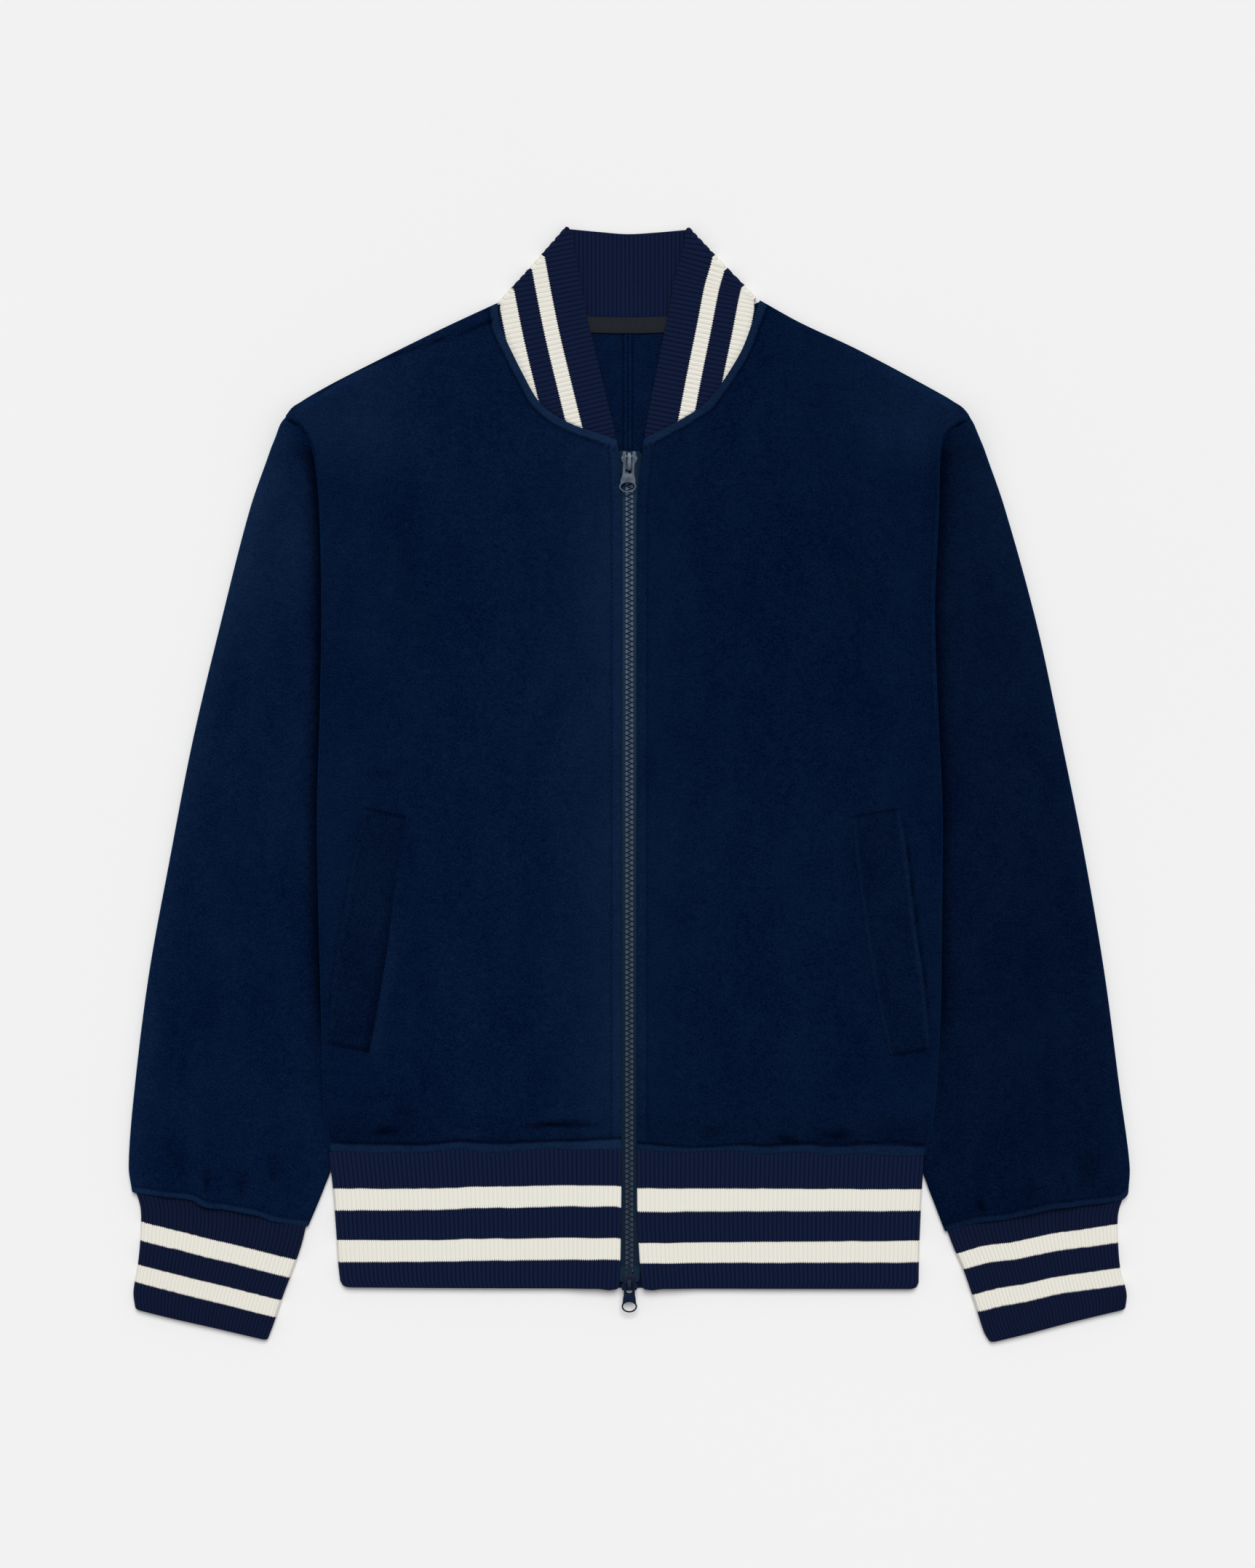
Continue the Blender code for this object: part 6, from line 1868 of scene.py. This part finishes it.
class JacketColours(bpy.types.PropertyGroup):
    """Colours of the cloth and the zip."""

    fleece_dark: colour("Fleece, dark", "Fleece where the nap lies flat", (0.0003, 0.0036, 0.0205))
    fleece_light: colour("Fleece, light", "Fleece where the nap stands", (0.0038, 0.0120, 0.0385))
    fleece_sheen: colour("Fleece sheen", "Glow of the nap at glancing angles", (0.02, 0.22, 0.75))
    # Painted shade: darker copies of the fleece for the right front and the right sleeve
    shaded_right_front: share_setting("Right front", "Painted shade over the right front", 0.91)
    shaded_right_sleeve: share_setting("Right sleeve", "Painted shade over the right sleeve", 0.76)
    dark_welt: share_setting("Welts", "Tone of the welts' nap", 0.82)
    rib_navy: colour("Rib navy", "The dark stripes of the ribs", (0.0052, 0.0100, 0.0335))
    cuff_tone: share_setting("Cuffs", "Tone of the cuffs' dark stripes", 0.86)
    # Painted shade in the furrows of the dark ribs
    rib_furrow_shade: colour("Rib furrows", "The furrows of the dark stripes", (0.0005, 0.0032, 0.0195))
    cream: colour("Cream", "The pale stripes of the ribs", (0.722, 0.702, 0.635))
    neck_tape: colour("Neck tape", "The tape over the back neck seam", (0.0145, 0.017, 0.021))
    zip_tape: colour("Zip tape", "The tape of the zip", (0.0062, 0.0155, 0.0310))
    thread: colour("Thread", "The sewing thread", (0.0010, 0.0060, 0.0240))
    teeth: colour("Teeth", "The zip's teeth", (0.050, 0.072, 0.115))
    # Painted highlight on the teeth's edges
    teeth_edge_highlight: colour("Teeth, edge highlight", "The teeth's edges", (0.075, 0.10, 0.15))
    top_slider: colour("Top slider", "The top slider and its pull", (0.034, 0.048, 0.077))
    # Painted highlight on the edges of the top slider and its pull
    top_edge_highlight: colour("Top slider, edge highlight", "Edges of the top slider and its pull", (0.17, 0.21, 0.27))
    bottom_slider: colour("Bottom slider", "The bottom slider and its pull", (0.0075, 0.020, 0.062))
    film: colour("Film", "The film over the foot of the tape", (0.018, 0.046, 0.090))
    # Painted highlight on the edges of the bottom slider and its pull
    bottom_edge_highlight: colour(
        "Bottom slider, edge highlight", "Edges of the bottom slider and its pull", (0.03, 0.045, 0.085))


class JacketStitches(bpy.types.PropertyGroup):
    """Sizes of the stitches."""

    length: length_setting("Stitch", "Length of a stitch", 0.0026)
    gap: length_setting("Gap", "Space between two stitches", 0.0007)
    thread: length_setting("Thread", "Thickness of the thread", 0.0007)
    stand: length_setting("Stand", "Height of a stitch over the bottom of its furrow", -0.00005)


class JacketStage(bpy.types.PropertyGroup):
    """Floor, light and camera."""

    floor: colour("Floor", "Colour of the floor", (0.79, 0.79, 0.79))
    fill: FloatProperty(
        name="Fill", description="Strength of the light from all round", default=0.42, min=0.0)
    key: FloatProperty(name="Key", description="Strength of the light from above", default=2.48, min=0.0)
    key_width: FloatProperty(
        name="Key width", description="Angle that the key light fills", default=math.radians(36.0),
        subtype="ANGLE")
    key_turn: FloatVectorProperty(
        name="Key turn", description="Tilt of the key light", size=3, subtype="EULER",
        default=(math.radians(-27.0), math.radians(3.0), 0.0))
    camera: FloatVectorProperty(
        name="Camera", description="Where the camera stands, looking straight down", size=3,
        default=(-0.00125, 0.0005, 2.551), subtype="TRANSLATION", unit="LENGTH")


class AddFronts(bpy.types.Operator):
    """Build both fronts, with their seam bands, creases and side turns."""

    bl_idname = "jacket.add_fronts"
    bl_label = "Fronts"

    def execute(self, context):
        for side in sides():
            make_front(*side)
        return {"FINISHED"}


class AddBacks(bpy.types.Operator):
    """Build both halves of the back."""

    bl_idname = "jacket.add_backs"
    bl_label = "Backs"

    def execute(self, context):
        for side in sides():
            make_back(*side)
        return {"FINISHED"}


class AddSleeves(bpy.types.Operator):
    """Build both sleeves, with their gathers and folds."""

    bl_idname = "jacket.add_sleeves"
    bl_label = "Sleeves"

    def execute(self, context):
        for side in sides():
            make_sleeve(*side)
        return {"FINISHED"}


class AddWelts(bpy.types.Operator):
    """Build both pocket welts."""

    bl_idname = "jacket.add_welts"
    bl_label = "Pocket welts"

    def execute(self, context):
        for side, word, _ in sides():
            make_welt(side, word)
        return {"FINISHED"}


class AddHem(bpy.types.Operator):
    """Build the striped hem band."""

    bl_idname = "jacket.add_hem"
    bl_label = "Hem band"

    def execute(self, context):
        make_hem()
        return {"FINISHED"}


class AddCuffs(bpy.types.Operator):
    """Build both striped cuffs."""

    bl_idname = "jacket.add_cuffs"
    bl_label = "Cuffs"

    def execute(self, context):
        for side, word, _ in sides():
            make_cuff(side, word)
        return {"FINISHED"}


class AddCollar(bpy.types.Operator):
    """Build the striped collar and the tape over its back seam."""

    bl_idname = "jacket.add_collar"
    bl_label = "Collar"

    def execute(self, context):
        make_collar()
        make_neck_tape()
        return {"FINISHED"}


class AddZip(bpy.types.Operator):
    """Build the zip: tapes, teeth, stops, sliders and pulls."""

    bl_idname = "jacket.add_zip"
    bl_label = "Zip"

    def execute(self, context):
        for side, word, _ in sides():
            make_tape(side, word)
            make_teeth(side, word)
        make_stops()
        for top in (True, False):
            make_slider(top)
            make_pull(top)
        return {"FINISHED"}


class AddStitching(bpy.types.Operator):
    """Sew the rows of stitches onto the pieces."""

    bl_idname = "jacket.add_stitching"
    bl_label = "Stitching"

    def execute(self, context):
        make_stitching()
        return {"FINISHED"}


class AddStage(bpy.types.Operator):
    """Set the floor, the light and the camera."""

    bl_idname = "jacket.add_stage"
    bl_label = "Stage"

    def execute(self, context):
        make_stage()
        return {"FINISHED"}


OPERATORS = (
    AddFronts, AddBacks, AddSleeves, AddWelts, AddHem, AddCuffs, AddCollar, AddZip, AddStitching, AddStage,
)
SETTINGS = (
    ("jacket_colours", JacketColours), ("jacket_stitches", JacketStitches), ("jacket_stage", JacketStage),
)


class JacketPanel(bpy.types.Panel):
    """Lists the pieces and the settings of the jacket."""

    bl_idname = "VIEW3D_PT_jacket"
    bl_label = "Fleece track jacket"
    bl_space_type = "VIEW_3D"
    bl_region_type = "UI"
    bl_category = "Jacket"

    def draw(self, context):
        layout = self.layout
        for operator in OPERATORS:
            layout.operator(operator.bl_idname)
        for name, kind in SETTINGS:
            box = layout.box()
            given = getattr(context.scene, name)
            for field in kind.__annotations__:
                box.prop(given, field)


def register():
    """Register the settings, the operators and the panel."""
    for name, kind in SETTINGS:
        bpy.utils.register_class(kind)
        setattr(bpy.types.Scene, name, PointerProperty(type=kind))
    for operator in OPERATORS:
        bpy.utils.register_class(operator)
    bpy.utils.register_class(JacketPanel)


def unregister():
    """Take back what register added."""
    bpy.utils.unregister_class(JacketPanel)
    for operator in reversed(OPERATORS):
        bpy.utils.unregister_class(operator)
    for name, kind in reversed(SETTINGS):
        delattr(bpy.types.Scene, name)
        bpy.utils.unregister_class(kind)


def main():
    """Build everything in order."""
    register()
    bpy.ops.jacket.add_fronts()
    bpy.ops.jacket.add_backs()
    bpy.ops.jacket.add_sleeves()
    bpy.ops.jacket.add_welts()
    bpy.ops.jacket.add_hem()
    bpy.ops.jacket.add_cuffs()
    bpy.ops.jacket.add_collar()
    bpy.ops.jacket.add_zip()
    bpy.ops.jacket.add_stitching()
    bpy.ops.jacket.add_stage()


if __name__ == "__main__":
    main()
